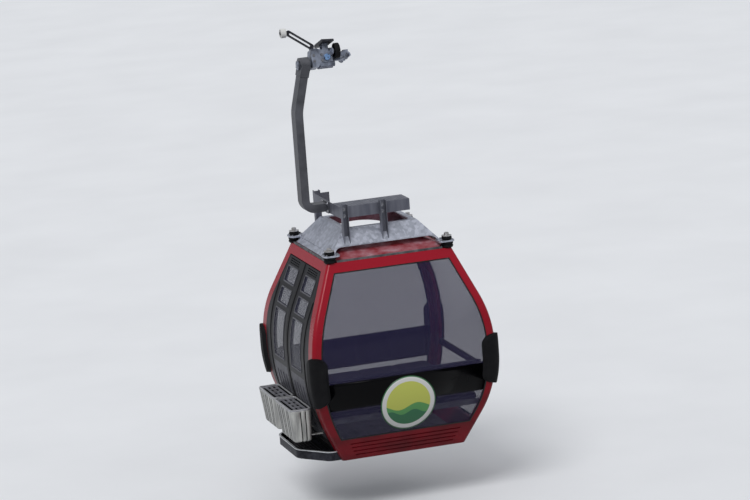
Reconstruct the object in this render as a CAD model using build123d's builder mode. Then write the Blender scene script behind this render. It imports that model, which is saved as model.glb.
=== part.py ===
"""Gondola cabin for a ropeway, with its hanger and detachable rope grip, at its real size.

Millimetres, +Z up. The origin is on the rope's axis at the middle of the grip's jaws. -Y is uphill
and the cabin's front, -X is the door side. Depths are measured down from the body's top edge.
"""

import os
from functools import cache
from math import atan2, cos, radians, sin, sqrt, tan

from build123d import *

os.makedirs("parts", exist_ok=True)

# Rope and the cabin's place under it
rope_r = 23.0  # steel rope of 46 mm
rope_slope = 18.6  # degrees that the rope climbs towards the front
cabin_x = 120.0  # middle of the cabin, from the rope
edge_z = -1880.0  # top edge of the body, from the rope

# Body shell
edge_half = 633.0  # half width of the square top and bottom edges
bulge_x = 296.0  # how far the door side and the far side stand out at the belt
bulge_y = 255.0  # the same for the front and back
shoulder_depth = 689.0  # where the leaning top flank would meet the upright belt
hip_depth = 1362.0  # where the belt would meet the leaning lower flank
body_h = 1962.0
shoulder_r = 1265.0
hip_r = 1378.0
corner_r = 38.0
wall = 40.0
glass_t = 8.0
fit = 0.3  # gap between pieces that are bonded or bolted face to face
ring_h = 90.0  # top ring
post_face = 85.0  # width of a corner post on the front and back
post_side = 150.0  # width of a corner post on the door side and far side
low_depth = 1730.0  # top of the louvred lower panels
pane_r = 55.0
gusset_w = 141.0  # square plate that carries a buffer in each corner of the top ring
gusset_t = 20.0
louvres = 4
louvre_first = 50.0  # from a panel's top to its first louvre
louvre_end = 70.0  # from a louvre's end to the post
louvre_pitch = 42.0
louvre_h = 12.0
louvre_d = 9.0

# Benches
floor_depth = 1885.0
floor_t = 45.0
seat_h = 450.0
seat_d = 410.0
seat_w = 1500.0
seat_t = 60.0
seat_pan_t = 10.0
beam_size = 50.0
bracket_places = (-520.0, 0.0, 520.0)  # brackets under a seat, across the cabin
skid_places = (-400.0, 400.0)
skid_w = 60.0
skid_l = 1160.0
tread_ribs = 17
tread_pitch = 60.0
tread_l = 1040.0
tread_w = 22.0
tread_h = 4.0
back_top = 1085.0
back_h = 300.0
back_shell_t = 22.0
shell_top = 1115.0  # moulded bench back that shows through the window
shell_low = 1405.0
shell_margin = 12.0
shell_r = 20.0
back_pad_t = 50.0
rail_depth = 1220.0
rail_h = 60.0

# Doors
door_half = 585.0
jamb_min = 10.0
door_gap = 9.0
leaf_t = 34.0
leaf_bottom = 1800.0
sill_depth = 1850.0
stile = 60.0
kick_top = 1130.0  # top of the sheet panel in each leaf
kick_bottom = 1760.0
kick_t = 10.0
arm_reach = 320.0
arm_w = 36.0
arm_t = 22.0
arm_x = -600.0  # door shafts, from the middle of the cabin
arm_pivot_y = 450.0
pin_r = 9.0
door_shaft_r = 13.0
shaft_boss_r = 30.0
running = 0.05  # radial gap of a pin in its bore
leaf_window_w = 350.0
leaf_window_r = 22.0
vents = 3  # slots over the windows of a leaf
vent_first = 18.0
vent_pitch = 20.0
vent_h = 8.0
vent_end = 20.0  # how much shorter than the windows they are at each end
leaf_windows = (  # top depth, bottom depth
    (185.0, 345.0),
    (385.0, 545.0),
    (585.0, 1075.0),
)

# Ski racks and the tray under the doors
rack_depth = 1420.0
rack_h = 325.0
rack_w = 560.0
rack_d = 215.0
rack_taper = 52.0  # how much each end of a rack draws in towards its foot
rack_wall = 6.0
rack_corner = 36.0
rack_foot_r = 22.0  # rounding of a rack's bottom edge
flute_r = 5.0
flute_top = 16.0  # where the flutes start below a rack's edge
long_flutes = 7
end_flutes = 3
bracket_w = 36.0
bracket_span = 300.0
bracket_drops = (24.0, 275.0)  # below the rack's edge
bracket_t = 10.0
rack_stand = 12.0  # gap between a rack and the fullest part of its leaf
rack_plate = 8.0
slot_w = 26.0
slot_l = 86.0
slot_pitch = 120.0
slot_rows = (-18.0, 30.0)
ski_slot_l = 440.0
outer_slot = 40.0  # middle of the slot at the outer edge, from that edge
inner_slot = 26.0
tray_reach = 1000.0
tray_w = 1230.0
tray_nose = 640.0
tray_h = 84.0
tray_wall = 14.0
tray_lift = 10.0  # underside of the tray above the body's foot
tray_side = 120.0  # how far its straight ends run out from the body
tray_nose_r = 150.0
tray_side_r = 90.0
rim_out = 6.0
rim_t = 8.0

# Bumpers, roof, buffers and roof frame
bumper_h = 500.0
bumper_w = 205.0
bumper_out = 36.0
bumper_r = 70.0  # rounding of a bumper round its corner
bumper_depth = 1095.0
roof_rise = 95.0
roof_run = 200.0
roof_t = 20.0
buffer_span = 1195.0
buffer_r = 64.0
foot_h = 62.0
flange_t = 12.0
frame_top_half = 380.0
frame_rise = 268.0  # plateau of the roof frame above the body's top edge
sheet = 8.0
arch_rise = 164.0  # openings of the back and the far side
arch_half = 500.0
front_rise = 118.0  # flatter opening of the front, with rounded ends
front_half = 535.0
front_r = 88.0
hatch_half = 325.0
beam_half = 430.0
beam_left = -405.0
beam_right = 300.0
beam_top = 495.0
beam_h = 112.0
beam_return = 150.0  # length of the short return at the back
step_d = 250.0  # depth of the service step behind the front beam
step_t = 6.0
post_w = 62.0
post_d = 60.0
post_web = 6.0
post_above = 24.0
post_places = (  # left edge, side of the frame
    (-405.0, -1),
    (-15.0, -1),
    (-405.0, 1),
)

# Hanger
tube_x = 80.0
tube_y = 140.0
tube_wall = 10.0
head_x = -415.0
swing_z = -30.0
elbow_x = -520.0
elbow_z = -480.0
shaft_r = 30.0
hub_r = 72.0
hub_w = 96.0

# Grip
jaw_len = 220.0
body_len = 150.0
wheel_r = 75.0
wheel_w = 48.0
wheel_x = -105.0
wheel_base = 230.0
wheel_up = 52.0
roller_r = 46.0
roller_w = 52.0
roller_x = -572.0
roller_up = 300.0
lever_x = -315.0
lever_up = 75.0
plate_up = 160.0

reach = 2000.0
edge = Plane(origin=(cabin_x, 0, edge_z), x_dir=(1, 0, 0), z_dir=(0, 0, 1))
front_view = Plane(origin=edge.origin, x_dir=(1, 0, 0), z_dir=(0, -1, 0))
side_view = Plane(origin=edge.origin, x_dir=(0, 1, 0), z_dir=(1, 0, 0))


def save(part, name):
    part.label = name
    export_step(part, f"parts/{name}.step")


def bulged(depth, bulge):
    """Half width of the body at a depth below its top edge."""
    lower = depth > (shoulder_depth + hip_depth) / 2
    knee = body_h - hip_depth if lower else shoulder_depth
    radius = hip_r if lower else shoulder_r
    run = body_h - depth if lower else depth
    lean = atan2(bulge, knee)
    tangent = radius * tan(lean / 2)
    if run >= knee + tangent:
        return edge_half + bulge
    if run > knee - tangent * cos(lean):
        return edge_half + bulge - radius + sqrt(radius**2 - (knee + tangent - run) ** 2)
    return edge_half + run * tan(lean)


def flank(bulge, inset, top=0.0, bottom=body_h):
    """Face of the body's outline in a front or side view, drawn in by an inset."""
    half = edge_half - inset
    with BuildSketch(mode=Mode.PRIVATE) as face:
        with BuildLine() as outline:
            side = FilletPolyline(
                (half, 0),
                (half + bulge, -shoulder_depth),
                (half + bulge, -hip_depth),
                (half, -body_h),
                radius=(shoulder_r, hip_r),
            )
            mirror(side, about=Plane.YZ)
            Line((half, 0), (-half, 0))
            Line((half, -body_h), (-half, -body_h))
        make_face()
        with Locations((0, -(top + bottom) / 2)):
            Rectangle(2 * reach, bottom - top, mode=Mode.INTERSECT)
    return face.sketch


@cache
def hull(inset=0.0, radius=0.0):
    """The whole body as a solid, its walls drawn in level by an inset and its corners rounded."""
    with BuildPart() as solid:
        with BuildSketch(front_view):
            add(flank(bulge_x, inset))
        extrude(amount=reach, both=True)
        with BuildSketch(side_view):
            add(flank(bulge_y, inset))
        extrude(amount=reach, both=True, mode=Mode.INTERSECT)
        if radius:
            levels = (Axis.Z, edge_z - body_h + 1, edge_z - 1)
            fillet(solid.edges().filter_by_position(*levels), radius)
    return solid.part


outer = hull(radius=corner_r)


def skin(near, far):
    """Shell of the body between two insets."""
    with BuildPart() as shell:
        add(outer if near == 0 else hull(near))
        add(hull(far), mode=Mode.SUBTRACT)
    return shell.part


def corners_of(sketch):
    """The sharp corners at the top and bottom of an aperture's outline."""
    rows = sketch.vertices().group_by(Axis.Y)
    return ShapeList(rows[0] + rows[-1])


def aperture(view, bulge, inset, top, bottom, side, radius=0.0, low=-reach, high=reach):
    """Block that cuts one wall: the outline in a view, between two depths and two breadths."""
    with BuildPart() as block:
        with BuildSketch(view) as shape:
            add(flank(bulge, inset, top, bottom))
            with Locations(((low + high) / 2, -body_h / 2)):
                Rectangle(high - low, 2 * body_h, mode=Mode.INTERSECT)
            if radius:
                fillet(corners_of(shape.sketch), radius)
        extrude(amount=side * reach)
    return block.part


def piece_of(shell, block, name):
    """One panel: the part of a shell that lies inside a block."""
    with BuildPart() as panel:
        add(shell)
        add(block, mode=Mode.INTERSECT)
    save(panel.part, name)
    return panel.part


frame_skin = skin(0, wall)
glass_skin = skin(0, glass_t)
front_gap = dict(view=front_view, bulge=bulge_x, inset=post_face)
side_gap = dict(view=side_view, bulge=bulge_y, inset=post_side)

# Corner posts, bent to the body's flank
with BuildPart() as corner_posts:
    add(frame_skin)
    for side in (-1, 1):
        add(aperture(**front_gap, top=0, bottom=body_h, side=side), mode=Mode.SUBTRACT)
        add(aperture(**side_gap, top=0, bottom=body_h, side=side), mode=Mode.SUBTRACT)
    with Locations(edge.location * Location((0, 0, -ring_h / 2))):
        Box(reach, reach, ring_h, mode=Mode.SUBTRACT)
save(corner_posts.part, "corner_posts")

# Top ring, with a gusset in each corner that carries a buffer
with BuildPart() as top_ring:
    add(frame_skin)
    with BuildSketch(edge):
        with GridLocations(buffer_span, buffer_span, 2, 2):
            Rectangle(gusset_w, gusset_w)
    extrude(amount=-gusset_t)
    add(outer, mode=Mode.INTERSECT)
    with Locations(edge.location * Location((0, 0, -(ring_h - fit) / 2))):
        Box(reach, reach, ring_h - fit, mode=Mode.INTERSECT)
save(top_ring.part, "top_ring")

# Lower panels with their pressed louvres
panels = (  # name, walls, side
    ("front_lower_panel", front_gap, 1),
    ("back_lower_panel", front_gap, -1),
    ("far_lower_panel", side_gap, 1),
)
for name, walls, side in panels:
    inner = dict(walls, inset=walls["inset"] + fit)
    slot = dict(walls, inset=walls["inset"] + louvre_end)
    with BuildPart() as panel:
        add(frame_skin)
        add(aperture(**inner, top=low_depth, bottom=body_h, side=side), mode=Mode.INTERSECT)
        with BuildPart(mode=Mode.PRIVATE) as grooves:
            for row in range(louvres):
                top = low_depth + louvre_first + row * louvre_pitch
                add(aperture(**slot, top=top, bottom=top + louvre_h, side=side))
            add(hull(louvre_d), mode=Mode.SUBTRACT)
        add(grooves.part, mode=Mode.SUBTRACT)
    save(panel.part, name)

# Windows of the front, back and far side, bonded between the posts
windows = (  # name, walls, side
    ("front_window", front_gap, 1),
    ("back_window", front_gap, -1),
    ("far_window", side_gap, 1),
)
for name, walls, side in windows:
    inner = dict(walls, inset=walls["inset"] + fit)
    block = aperture(**inner, top=ring_h + fit, bottom=low_depth - fit, side=side, radius=pane_r)
    piece_of(glass_skin, block, name)

# Bench backs behind the front and back windows, and the rail across the far window
back_skin = skin(glass_t + fit, glass_t + fit + back_shell_t)
shell_walls = dict(front_gap, inset=post_face + shell_margin)
for name, side in (("front_bench_back", 1), ("back_bench_back", -1)):
    block = aperture(**shell_walls, top=shell_top, bottom=shell_low, side=side, radius=shell_r)
    piece_of(back_skin, block, name)
rail_walls = dict(side_gap, inset=post_side + fit)
rail_block = aperture(**rail_walls, top=rail_depth, bottom=rail_depth + rail_h, side=1)
piece_of(back_skin, rail_block, "far_rail")

# Door frame: both jambs and the sill in one welded piece
door_gap_walls = dict(side_gap, inset=post_side + jamb_min)
with BuildPart() as door_frame:
    add(frame_skin)
    frame_walls = dict(side_gap, inset=post_side + fit)
    add(aperture(**frame_walls, top=ring_h + fit, bottom=body_h, side=-1), mode=Mode.INTERSECT)
    doorway = aperture(
        **door_gap_walls,
        top=0,
        bottom=sill_depth,
        side=-1,
        low=-door_half - door_gap,
        high=door_half + door_gap,
    )
    add(doorway, mode=Mode.SUBTRACT)
save(door_frame.part, "door_frame")

# Door leaves, each with three windows, a sheet panel, a ski rack and a swing arm
leaf_skin = skin(0, leaf_t)
kick_skin = skin(0, kick_t)
leaf_walls = dict(side_gap, inset=post_side + jamb_min + door_gap)
leaf_top = ring_h + door_gap
window_y = door_half / 2
foot_t = 12.0
foot_len = bulged(leaf_bottom, bulge_x) + arm_x  # from the pin to the leaf's outer face
arm_depth = leaf_bottom + foot_t + 2  # top of the arm
rack_back = -bulged(rack_depth, bulge_x) - rack_stand


def leaf_block(along, top, bottom, margin=0.0, radius=0.0):
    """Block over one leaf, held off the leaf's own edges by a margin."""
    reach_in, reach_out = 3 + margin, door_half - margin
    walls = dict(leaf_walls, inset=leaf_walls["inset"] + margin)
    low, high = sorted((along * reach_in, along * reach_out))
    return aperture(**walls, top=top, bottom=bottom, side=-1, radius=radius, low=low, high=high)


def slot_block(centre, width, top, bottom, radius):
    """Straight-sided block through the door side."""
    with BuildPart() as block:
        with BuildSketch(side_view):
            with Locations((centre, -(top + bottom) / 2)):
                RectangleRounded(width, bottom - top, radius)
        extrude(amount=-reach)
    return block.part


rack_mid = rack_back - rack_d / 2
reach_in = 100.0  # more than the brackets of a rack need to meet its leaf


def rack_size(taper):
    """Depth and length of a rack where its ends have drawn in by a taper."""
    return rack_d - 2 * taper / 3, rack_w - 2 * taper


def trough(centre, shrink, bottom):
    """Tapered block of a rack with a rounded foot, its walls drawn in by a shrink."""
    with BuildPart() as block:
        for drop, taper in ((0.0, 0.0), (bottom, rack_taper)):
            deep, long = rack_size(taper)
            place = edge.location * Location((rack_back - deep / 2, centre, -rack_depth - drop))
            with BuildSketch(Plane(place)):
                RectangleRounded(deep - 2 * shrink, long - 2 * shrink, rack_corner - shrink)
        loft()
        fillet(block.faces().sort_by(Axis.Z)[0].edges(), rack_foot_r - shrink)
    return block.part


def flute_lines(centre):
    """Top and bottom points of the flutes pressed into a rack's long wall and its two ends."""
    shares = [(-1.0, (index + 1) / (long_flutes + 1) - 0.5) for index in range(long_flutes)]
    for wall_end in (-0.5, 0.5):
        shares += [(-(index + 1) / (end_flutes + 1), wall_end) for index in range(end_flutes)]
    lines = []
    for out_share, along_share in shares:
        line = []
        for drop in (flute_top, rack_h - rack_foot_r):
            deep, long = rack_size(rack_taper * drop / rack_h)
            spot = Vector(rack_back + out_share * deep, centre + along_share * long, -rack_depth - drop)
            line.append(edge.from_local_coords(spot))
        lines.append(line)
    return lines


for end, along in (("front", -1), ("rear", 1)):
    pin_y = along * (arm_pivot_y - arm_reach)
    centre = along * window_y
    with BuildPart() as leaf:
        add(leaf_skin)
        add(leaf_block(along, leaf_top, leaf_bottom), mode=Mode.INTERSECT)
        for top, bottom in leaf_windows:
            add(slot_block(centre, leaf_window_w, top, bottom, leaf_window_r), mode=Mode.SUBTRACT)
        kick_hole = leaf_block(along, kick_top, kick_bottom, stile)
        add(kick_hole, mode=Mode.SUBTRACT)
        vent_w = leaf_window_w - 2 * vent_end
        for row in range(vents):
            top = leaf_top + vent_first + row * vent_pitch
            vent = slot_block(centre, vent_w, top, top + vent_h, 0.48 * vent_h)
            add(vent, mode=Mode.SUBTRACT)
    save(leaf.part, f"{end}_door_leaf")

    # Foot bracket under the leaf, which the swing arm's pin passes through
    foot = edge.location * Location((arm_x, pin_y, -leaf_bottom - fit))
    with BuildPart() as door_foot:
        with BuildSketch(Plane(foot)):
            with Locations((-foot_len / 2, 0)):
                Rectangle(foot_len, 2 * arm_w)
            Circle(arm_w)
            Circle(pin_r + running, mode=Mode.SUBTRACT)
        extrude(amount=-foot_t)
        add(outer, mode=Mode.INTERSECT)
    save(door_foot.part, f"{end}_door_foot")

    with BuildPart() as panes:
        add(glass_skin)
        with BuildPart(mode=Mode.PRIVATE) as openings:
            pane_w = leaf_window_w - 2 * fit
            for top, bottom in leaf_windows:
                add(slot_block(centre, pane_w, top + fit, bottom - fit, leaf_window_r - fit))
        add(openings.part, mode=Mode.INTERSECT)
    save(panes.part, f"{end}_door_windows")

    kick_block = leaf_block(along, kick_top + fit, kick_bottom - fit, stile + fit)
    piece_of(kick_skin, kick_block, f"{end}_door_panel")

    # Ski rack: a tapered fluted trough under a slotted top plate
    with BuildPart() as rack:
        add(trough(centre, 0.0, rack_h))
        for top, low in flute_lines(centre):
            with BuildSketch(Plane(origin=top, z_dir=low - top)):
                Circle(flute_r)
            extrude(amount=(low - top).length)
        add(trough(centre, rack_wall, rack_h - rack_wall), mode=Mode.SUBTRACT)
        # Brackets back to the leaf
        for drop in bracket_drops:
            with BuildSketch(edge.offset(-rack_depth - drop)):
                with Locations((rack_back + reach_in - rack_wall / 2, centre)):
                    with GridLocations(0, bracket_span, 1, 2):
                        Rectangle(2 * reach_in, bracket_w)
            extrude(amount=-bracket_t)
        add(hull(-fit), mode=Mode.SUBTRACT)
    save(rack.part, f"{end}_ski_rack")

    # Slotted top plate: long slots for skis at the edges, short ones for poles between
    with BuildPart() as rack_top:
        top_plate = edge.location * Location((rack_mid, centre, -rack_depth + fit))
        with BuildSketch(Plane(top_plate)):
            RectangleRounded(rack_d, rack_w, rack_corner)
            with Locations((-rack_d / 2 + outer_slot, 0), (rack_d / 2 - inner_slot, 0)):
                SlotOverall(ski_slot_l, slot_w, rotation=90, mode=Mode.SUBTRACT)
            for row in slot_rows:
                with Locations((row, 0)):
                    with GridLocations(0, slot_pitch, 1, 4):
                        SlotOverall(slot_l, slot_w, rotation=90, mode=Mode.SUBTRACT)
        extrude(amount=rack_plate)
    save(rack_top.part, f"{end}_rack_top")

    # Swing arm, on a shaft that stands on the floor
    pivot = edge.location * Location((arm_x, along * arm_pivot_y, -arm_depth))
    with BuildPart() as arm:
        with BuildSketch(Plane(pivot)):
            with Locations((0, -along * arm_reach / 2)):
                SlotCenterToCenter(arm_reach, arm_w, rotation=90)
            Circle(door_shaft_r + running, mode=Mode.SUBTRACT)
        extrude(amount=-arm_t)
        with BuildSketch(Plane(pivot)):
            with Locations((0, -along * arm_reach)):
                Circle(pin_r)
        extrude(amount=34)
    save(arm.part, f"{end}_door_arm")

# Tray under the doors
with BuildPart() as step_tray:
    with BuildSketch(edge.offset(-body_h + tray_lift)) as tray_plan:
        with BuildLine():
            Polyline(
                (-edge_half + wall, -tray_w / 2),
                (-edge_half - tray_side, -tray_w / 2),
                (-tray_reach, -tray_nose / 2),
                (-tray_reach, tray_nose / 2),
                (-edge_half - tray_side, tray_w / 2),
                (-edge_half + wall, tray_w / 2),
                close=True,
            )
        make_face()
        bends = tray_plan.vertices().group_by(Axis.X)
        fillet(bends[0], tray_nose_r)
        fillet(tray_plan.vertices().group_by(Axis.X)[-2], tray_side_r)
    extrude(amount=tray_h)
    with BuildSketch(edge.offset(-body_h + tray_lift + tray_wall)):
        offset(tray_plan.sketch_local, amount=-tray_wall)
    extrude(amount=tray_h, mode=Mode.SUBTRACT)
    add(hull(-fit), mode=Mode.SUBTRACT)
save(step_tray.part, "step_tray")

# Bright rim round the tray's mouth
with BuildPart() as step_rim:
    with BuildSketch(edge.offset(-body_h + tray_lift + tray_h + fit)):
        offset(tray_plan.sketch_local, amount=rim_out)
        offset(tray_plan.sketch_local, amount=-tray_wall, mode=Mode.SUBTRACT)
    extrude(amount=rim_t)
    add(hull(-fit), mode=Mode.SUBTRACT)
save(step_rim.part, "step_rim")

# Floor pan with its tread ribs, filling the body between the walls
with BuildPart() as floor_pan:
    add(hull(wall + fit))
    with Locations(edge.location * Location((0, 0, -floor_depth - floor_t / 2))):
        Box(reach, reach, floor_t, mode=Mode.INTERSECT)
    with BuildSketch(edge.offset(-floor_depth)):
        with GridLocations(tread_pitch, 0, tread_ribs, 1):
            SlotOverall(tread_l, tread_w, rotation=90)
    extrude(amount=tread_h)
    # Skids that the cabin stands on when it is off the rope
    with BuildSketch(edge.offset(-floor_depth - floor_t)):
        for place in skid_places:
            with Locations((place, 0)):
                Rectangle(skid_w, skid_l)
    extrude(amount=-(body_h - floor_depth - floor_t))
save(floor_pan.part, "floor_pan")

# Benches: bracket frame under each seat pad, and a back pad in front of the bench back
seat_depth = floor_depth - seat_h
pad_near = glass_t + back_shell_t + 3 * fit
seat_wall = bulged(seat_depth, bulge_y) - wall - 12
for end, side in (("front", -1), ("back", 1)):
    seat_mid = side * (seat_wall - seat_d / 2)
    with BuildPart() as pad:
        with BuildSketch(edge.offset(-seat_depth - seat_t)):
            with Locations((0, seat_mid)):
                RectangleRounded(seat_w, seat_d, 50)
        extrude(amount=seat_t)
        fillet(pad.faces().sort_by(Axis.Z)[-1].edges(), 20)
    save(pad.part, f"{end}_seat_pad")

    pad_walls = dict(front_gap, inset=post_face + 60)
    block = aperture(**pad_walls, top=back_top, bottom=back_top + back_h, side=-side, radius=40)
    piece_of(skin(pad_near, pad_near + back_pad_t), block, f"{end}_back_pad")

    # Seat pan, brackets and the beam that carries them between the corner posts, fit gaps between
    pan_top = -seat_depth - seat_t - fit
    beam_top_level = pan_top - seat_pan_t - fit
    beam_mid = side * (seat_wall - beam_size / 2)
    beam_face = beam_mid - side * (beam_size / 2 + fit)
    bracket_front = seat_mid - side * (seat_d / 2 - 40)
    with BuildPart() as bench:
        with BuildSketch(edge.offset(pan_top)):
            with Locations((0, seat_mid)):
                RectangleRounded(seat_w - 40, seat_d - 30, 40)
        extrude(amount=-seat_pan_t)
        with Locations(edge.location * Location((0, beam_mid, beam_top_level - beam_size / 2))):
            Box(2 * reach, beam_size, beam_size)
        for place in bracket_places:
            with BuildSketch(Plane(side_view.location * Location((0, 0, place)))):
                with BuildLine():
                    Polyline(
                        (bracket_front, beam_top_level),
                        (beam_face, beam_top_level),
                        (beam_face, beam_top_level - beam_size),
                        (bracket_front, beam_top_level - 14),
                        close=True,
                    )
                make_face()
            extrude(amount=6, both=True)
        add(hull(wall + fit), mode=Mode.INTERSECT)
    save(bench.part, f"{end}_bench_frame")

# Shafts that the door arms turn on, bolted to the floor
with BuildPart() as door_shafts:
    for along in (-1, 1):
        with BuildSketch(edge.offset(-floor_depth + fit)):
            with Locations((arm_x, along * arm_pivot_y)):
                Circle(door_shaft_r)
        extrude(amount=floor_depth - arm_depth + 8)
        with BuildSketch(edge.offset(-floor_depth + fit)):
            with Locations((arm_x, along * arm_pivot_y)):
                Circle(shaft_boss_r)
        extrude(amount=floor_depth - arm_depth - arm_t - 1)
save(door_shafts.part, "door_shafts")

# Bumpers wrapped round the corners at the belt
corner_x = bulged(bumper_depth, bulge_x)
corner_y = bulged(bumper_depth, bulge_y)
with BuildPart() as corner_bumpers:
    for sx in (-1, 1):
        for sy in (-1, 1):
            out = Vector(sx, sy, 0).normalized()
            corner = Vector(cabin_x + sx * corner_x, sy * corner_y, edge_z - bumper_depth)
            face = Plane(origin=corner, x_dir=(-sy, sx, 0), z_dir=out)
            with BuildPart(mode=Mode.PRIVATE) as bumper:
                with BuildSketch(face):
                    SlotOverall(bumper_h, bumper_w, rotation=90)
                extrude(amount=2 * bumper_w, both=True)
                add(hull(-bumper_out, bumper_r), mode=Mode.INTERSECT)
                add(hull(-fit), mode=Mode.SUBTRACT)
            add(bumper.part)
save(corner_bumpers.part, "corner_bumpers")


def tapered(low_half, low_z, top_half, top_z):
    """Square block that tapers between two levels above the body's top edge."""
    with BuildPart() as block:
        for half, level in ((low_half, low_z), (top_half, top_z)):
            with BuildSketch(edge.offset(level)):
                Rectangle(2 * half, 2 * half)
        loft()
    return block.part


# Roof skin, its corners cut back round the buffers, and the seal strip along its foot
gutter_w = 18.0
gutter_h = 20.0
roof_half = edge_half - gutter_w - 4
with BuildPart() as roof_shell:
    add(tapered(roof_half, 0, roof_half - roof_run, roof_rise))
    roof_in = roof_t * 1.6
    inner_roof = tapered(roof_half - roof_in, 0, roof_half - roof_run - 12, roof_rise - roof_t)
    add(inner_roof, mode=Mode.SUBTRACT)
    with Locations(edge.location):
        with GridLocations(buffer_span, buffer_span, 2, 2):
            Cylinder(buffer_r + 4, 4 * roof_rise, mode=Mode.SUBTRACT)
save(roof_shell.part, "roof_shell")

with BuildPart() as roof_gutter:
    with BuildSketch(edge.offset(fit)):
        outer_half = roof_half + gutter_w
        Rectangle(2 * outer_half, 2 * outer_half)
        Rectangle(2 * roof_half + 2 * fit, 2 * roof_half + 2 * fit, mode=Mode.SUBTRACT)
        with GridLocations(buffer_span, buffer_span, 2, 2):
            Circle(buffer_r + 4, mode=Mode.SUBTRACT)
    extrude(amount=gutter_h)
save(roof_gutter.part, "roof_gutter")


def at_buffers(profile, name):
    """The same turned piece on each buffer, from a closed list of (radius, level) points."""
    with BuildPart() as turned:
        with BuildSketch(front_view):
            with BuildLine():
                Polyline(*profile, close=True)
            make_face()
        revolve(axis=Axis(edge.origin, (0, 0, 1)))
    with BuildPart() as pieces:
        with GridLocations(buffer_span, buffer_span, 2, 2):
            add(turned.part)
    save(pieces.part, name)


flange_top = foot_h + flange_t
ring_top = flange_top + 40
waist = buffer_r - 12
feet = (
    (0, 0),
    (waist, 0),
    (buffer_r - 4, 12),
    (buffer_r - 4, 24),
    (waist, 31),
    (buffer_r - 4, 38),
    (buffer_r - 4, 50),
    (waist, foot_h - fit),
    (0, foot_h - fit),
)
at_buffers([(r, z + fit if z == 0 else z) for r, z in feet], "buffer_feet")
upper_r = 50.0
at_buffers(
    (
        (0, flange_top + fit),
        (upper_r - 8, flange_top + fit),
        (upper_r, flange_top + 10),
        (upper_r, ring_top - 10),
        (upper_r - 8, ring_top),
        (0, ring_top),
    ),
    "buffer_rings",
)
at_buffers(
    (
        (0, ring_top + fit),
        (upper_r, ring_top + fit),
        (upper_r, ring_top + 6),
        (24, ring_top + 12),
        (24, ring_top + 30),
        (18, ring_top + 34),
        (0, ring_top + 34),
    ),
    "buffer_caps",
)

# Roof frame: a folded sheet pyramid on four corner flanges, open over the hatch and on three sides
frame_foot_half = buffer_span / 2 - 38
pyramid = tapered(frame_foot_half, foot_h, frame_top_half, frame_rise)
with BuildPart() as roof_frame:
    add(pyramid)
    inside = tapered(frame_foot_half - 1.5 * sheet, foot_h, frame_top_half - 3, frame_rise - sheet)
    add(inside, mode=Mode.SUBTRACT)
    for view, amount in ((front_view, -reach), (side_view, reach)):
        with BuildSketch(view):
            with BuildLine():
                ThreePointArc((-arch_half, 0), (0, arch_rise), (arch_half, 0))
                Line((arch_half, 0), (-arch_half, 0))
            make_face()
        extrude(amount=amount, mode=Mode.SUBTRACT)
    with BuildSketch(front_view):
        RectangleRounded(2 * front_half, 2 * front_rise, front_r)
    extrude(amount=reach, mode=Mode.SUBTRACT)
    with BuildSketch(edge.offset(frame_rise)):
        RectangleRounded(2 * hatch_half, 2 * hatch_half, 60)
    extrude(amount=-2 * sheet, mode=Mode.SUBTRACT)
    with BuildSketch(edge.offset(foot_h)):
        with GridLocations(buffer_span - 30, buffer_span - 30, 2, 2):
            RectangleRounded(2 * buffer_r + 34, 2 * buffer_r + 34, 40)
    extrude(amount=flange_t)
save(roof_frame.part, "roof_frame")

# Apron that closes the roof frame on the door side
apron_run = 48.0
apron_drop = 38.0
with BuildPart() as roof_apron:
    with BuildSketch(front_view):
        with BuildLine():
            high, low = foot_h - fit, foot_h - fit - apron_drop
            Polyline(
                (-frame_foot_half, high),
                (-frame_foot_half + 1.5 * sheet, high),
                (-frame_foot_half + 1.5 * sheet - apron_run, low),
                (-frame_foot_half - apron_run, low),
                close=True,
            )
        make_face()
    extrude(amount=buffer_span / 2 - buffer_r - 34, both=True)
save(roof_apron.part, "roof_apron")

# Upper frame: a beam along the front with a service step behind it, and across the door side the
# plate that takes the hanger's flange, ending in a short return at the back
foot_level = beam_top - beam_h / 2
foot_half = 110.0
foot_end = -415.0  # outer face of the plate that takes the hanger's flange
plate_t = 8.0
with BuildPart() as upper_frame:
    with BuildSketch(edge.offset(beam_top - beam_h)):
        with BuildLine():
            Polyline(
                (foot_end, -foot_half),
                (beam_left, -beam_half),
                (beam_right, -beam_half),
                (beam_right, beam_half),
                (beam_left, beam_half),
                (foot_end, foot_half),
                close=True,
            )
        make_face()
        offset(amount=-plate_t, mode=Mode.SUBTRACT)
        with Locations((beam_left + beam_return, -beam_half + plate_t)):
            Rectangle(reach, reach, align=(Align.MIN, Align.MIN), mode=Mode.SUBTRACT)
    extrude(amount=beam_h)
    with BuildSketch(edge.offset(beam_top)):
        with Locations((beam_left, -beam_half)):
            Rectangle(beam_right - beam_left, step_d, align=(Align.MIN, Align.MIN))
    extrude(amount=-step_t)
save(upper_frame.part, "upper_frame")

with BuildPart() as frame_posts:
    with BuildSketch(edge.offset(foot_h)):
        for place, side in post_places:
            with Locations((place + post_w / 2, side * (beam_half + fit + post_d / 2))):
                Rectangle(post_w, post_d)
            with Locations((place + post_w / 2, side * (beam_half + fit + post_d / 2 + post_web))):
                Rectangle(post_w - 2 * post_web, post_d, mode=Mode.SUBTRACT)
    extrude(amount=beam_top + post_above - foot_h)
    grown = tapered(frame_foot_half + fit, foot_h, frame_top_half + fit, frame_rise + fit)
    add(grown, mode=Mode.SUBTRACT)
save(frame_posts.part, "frame_posts")

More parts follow.
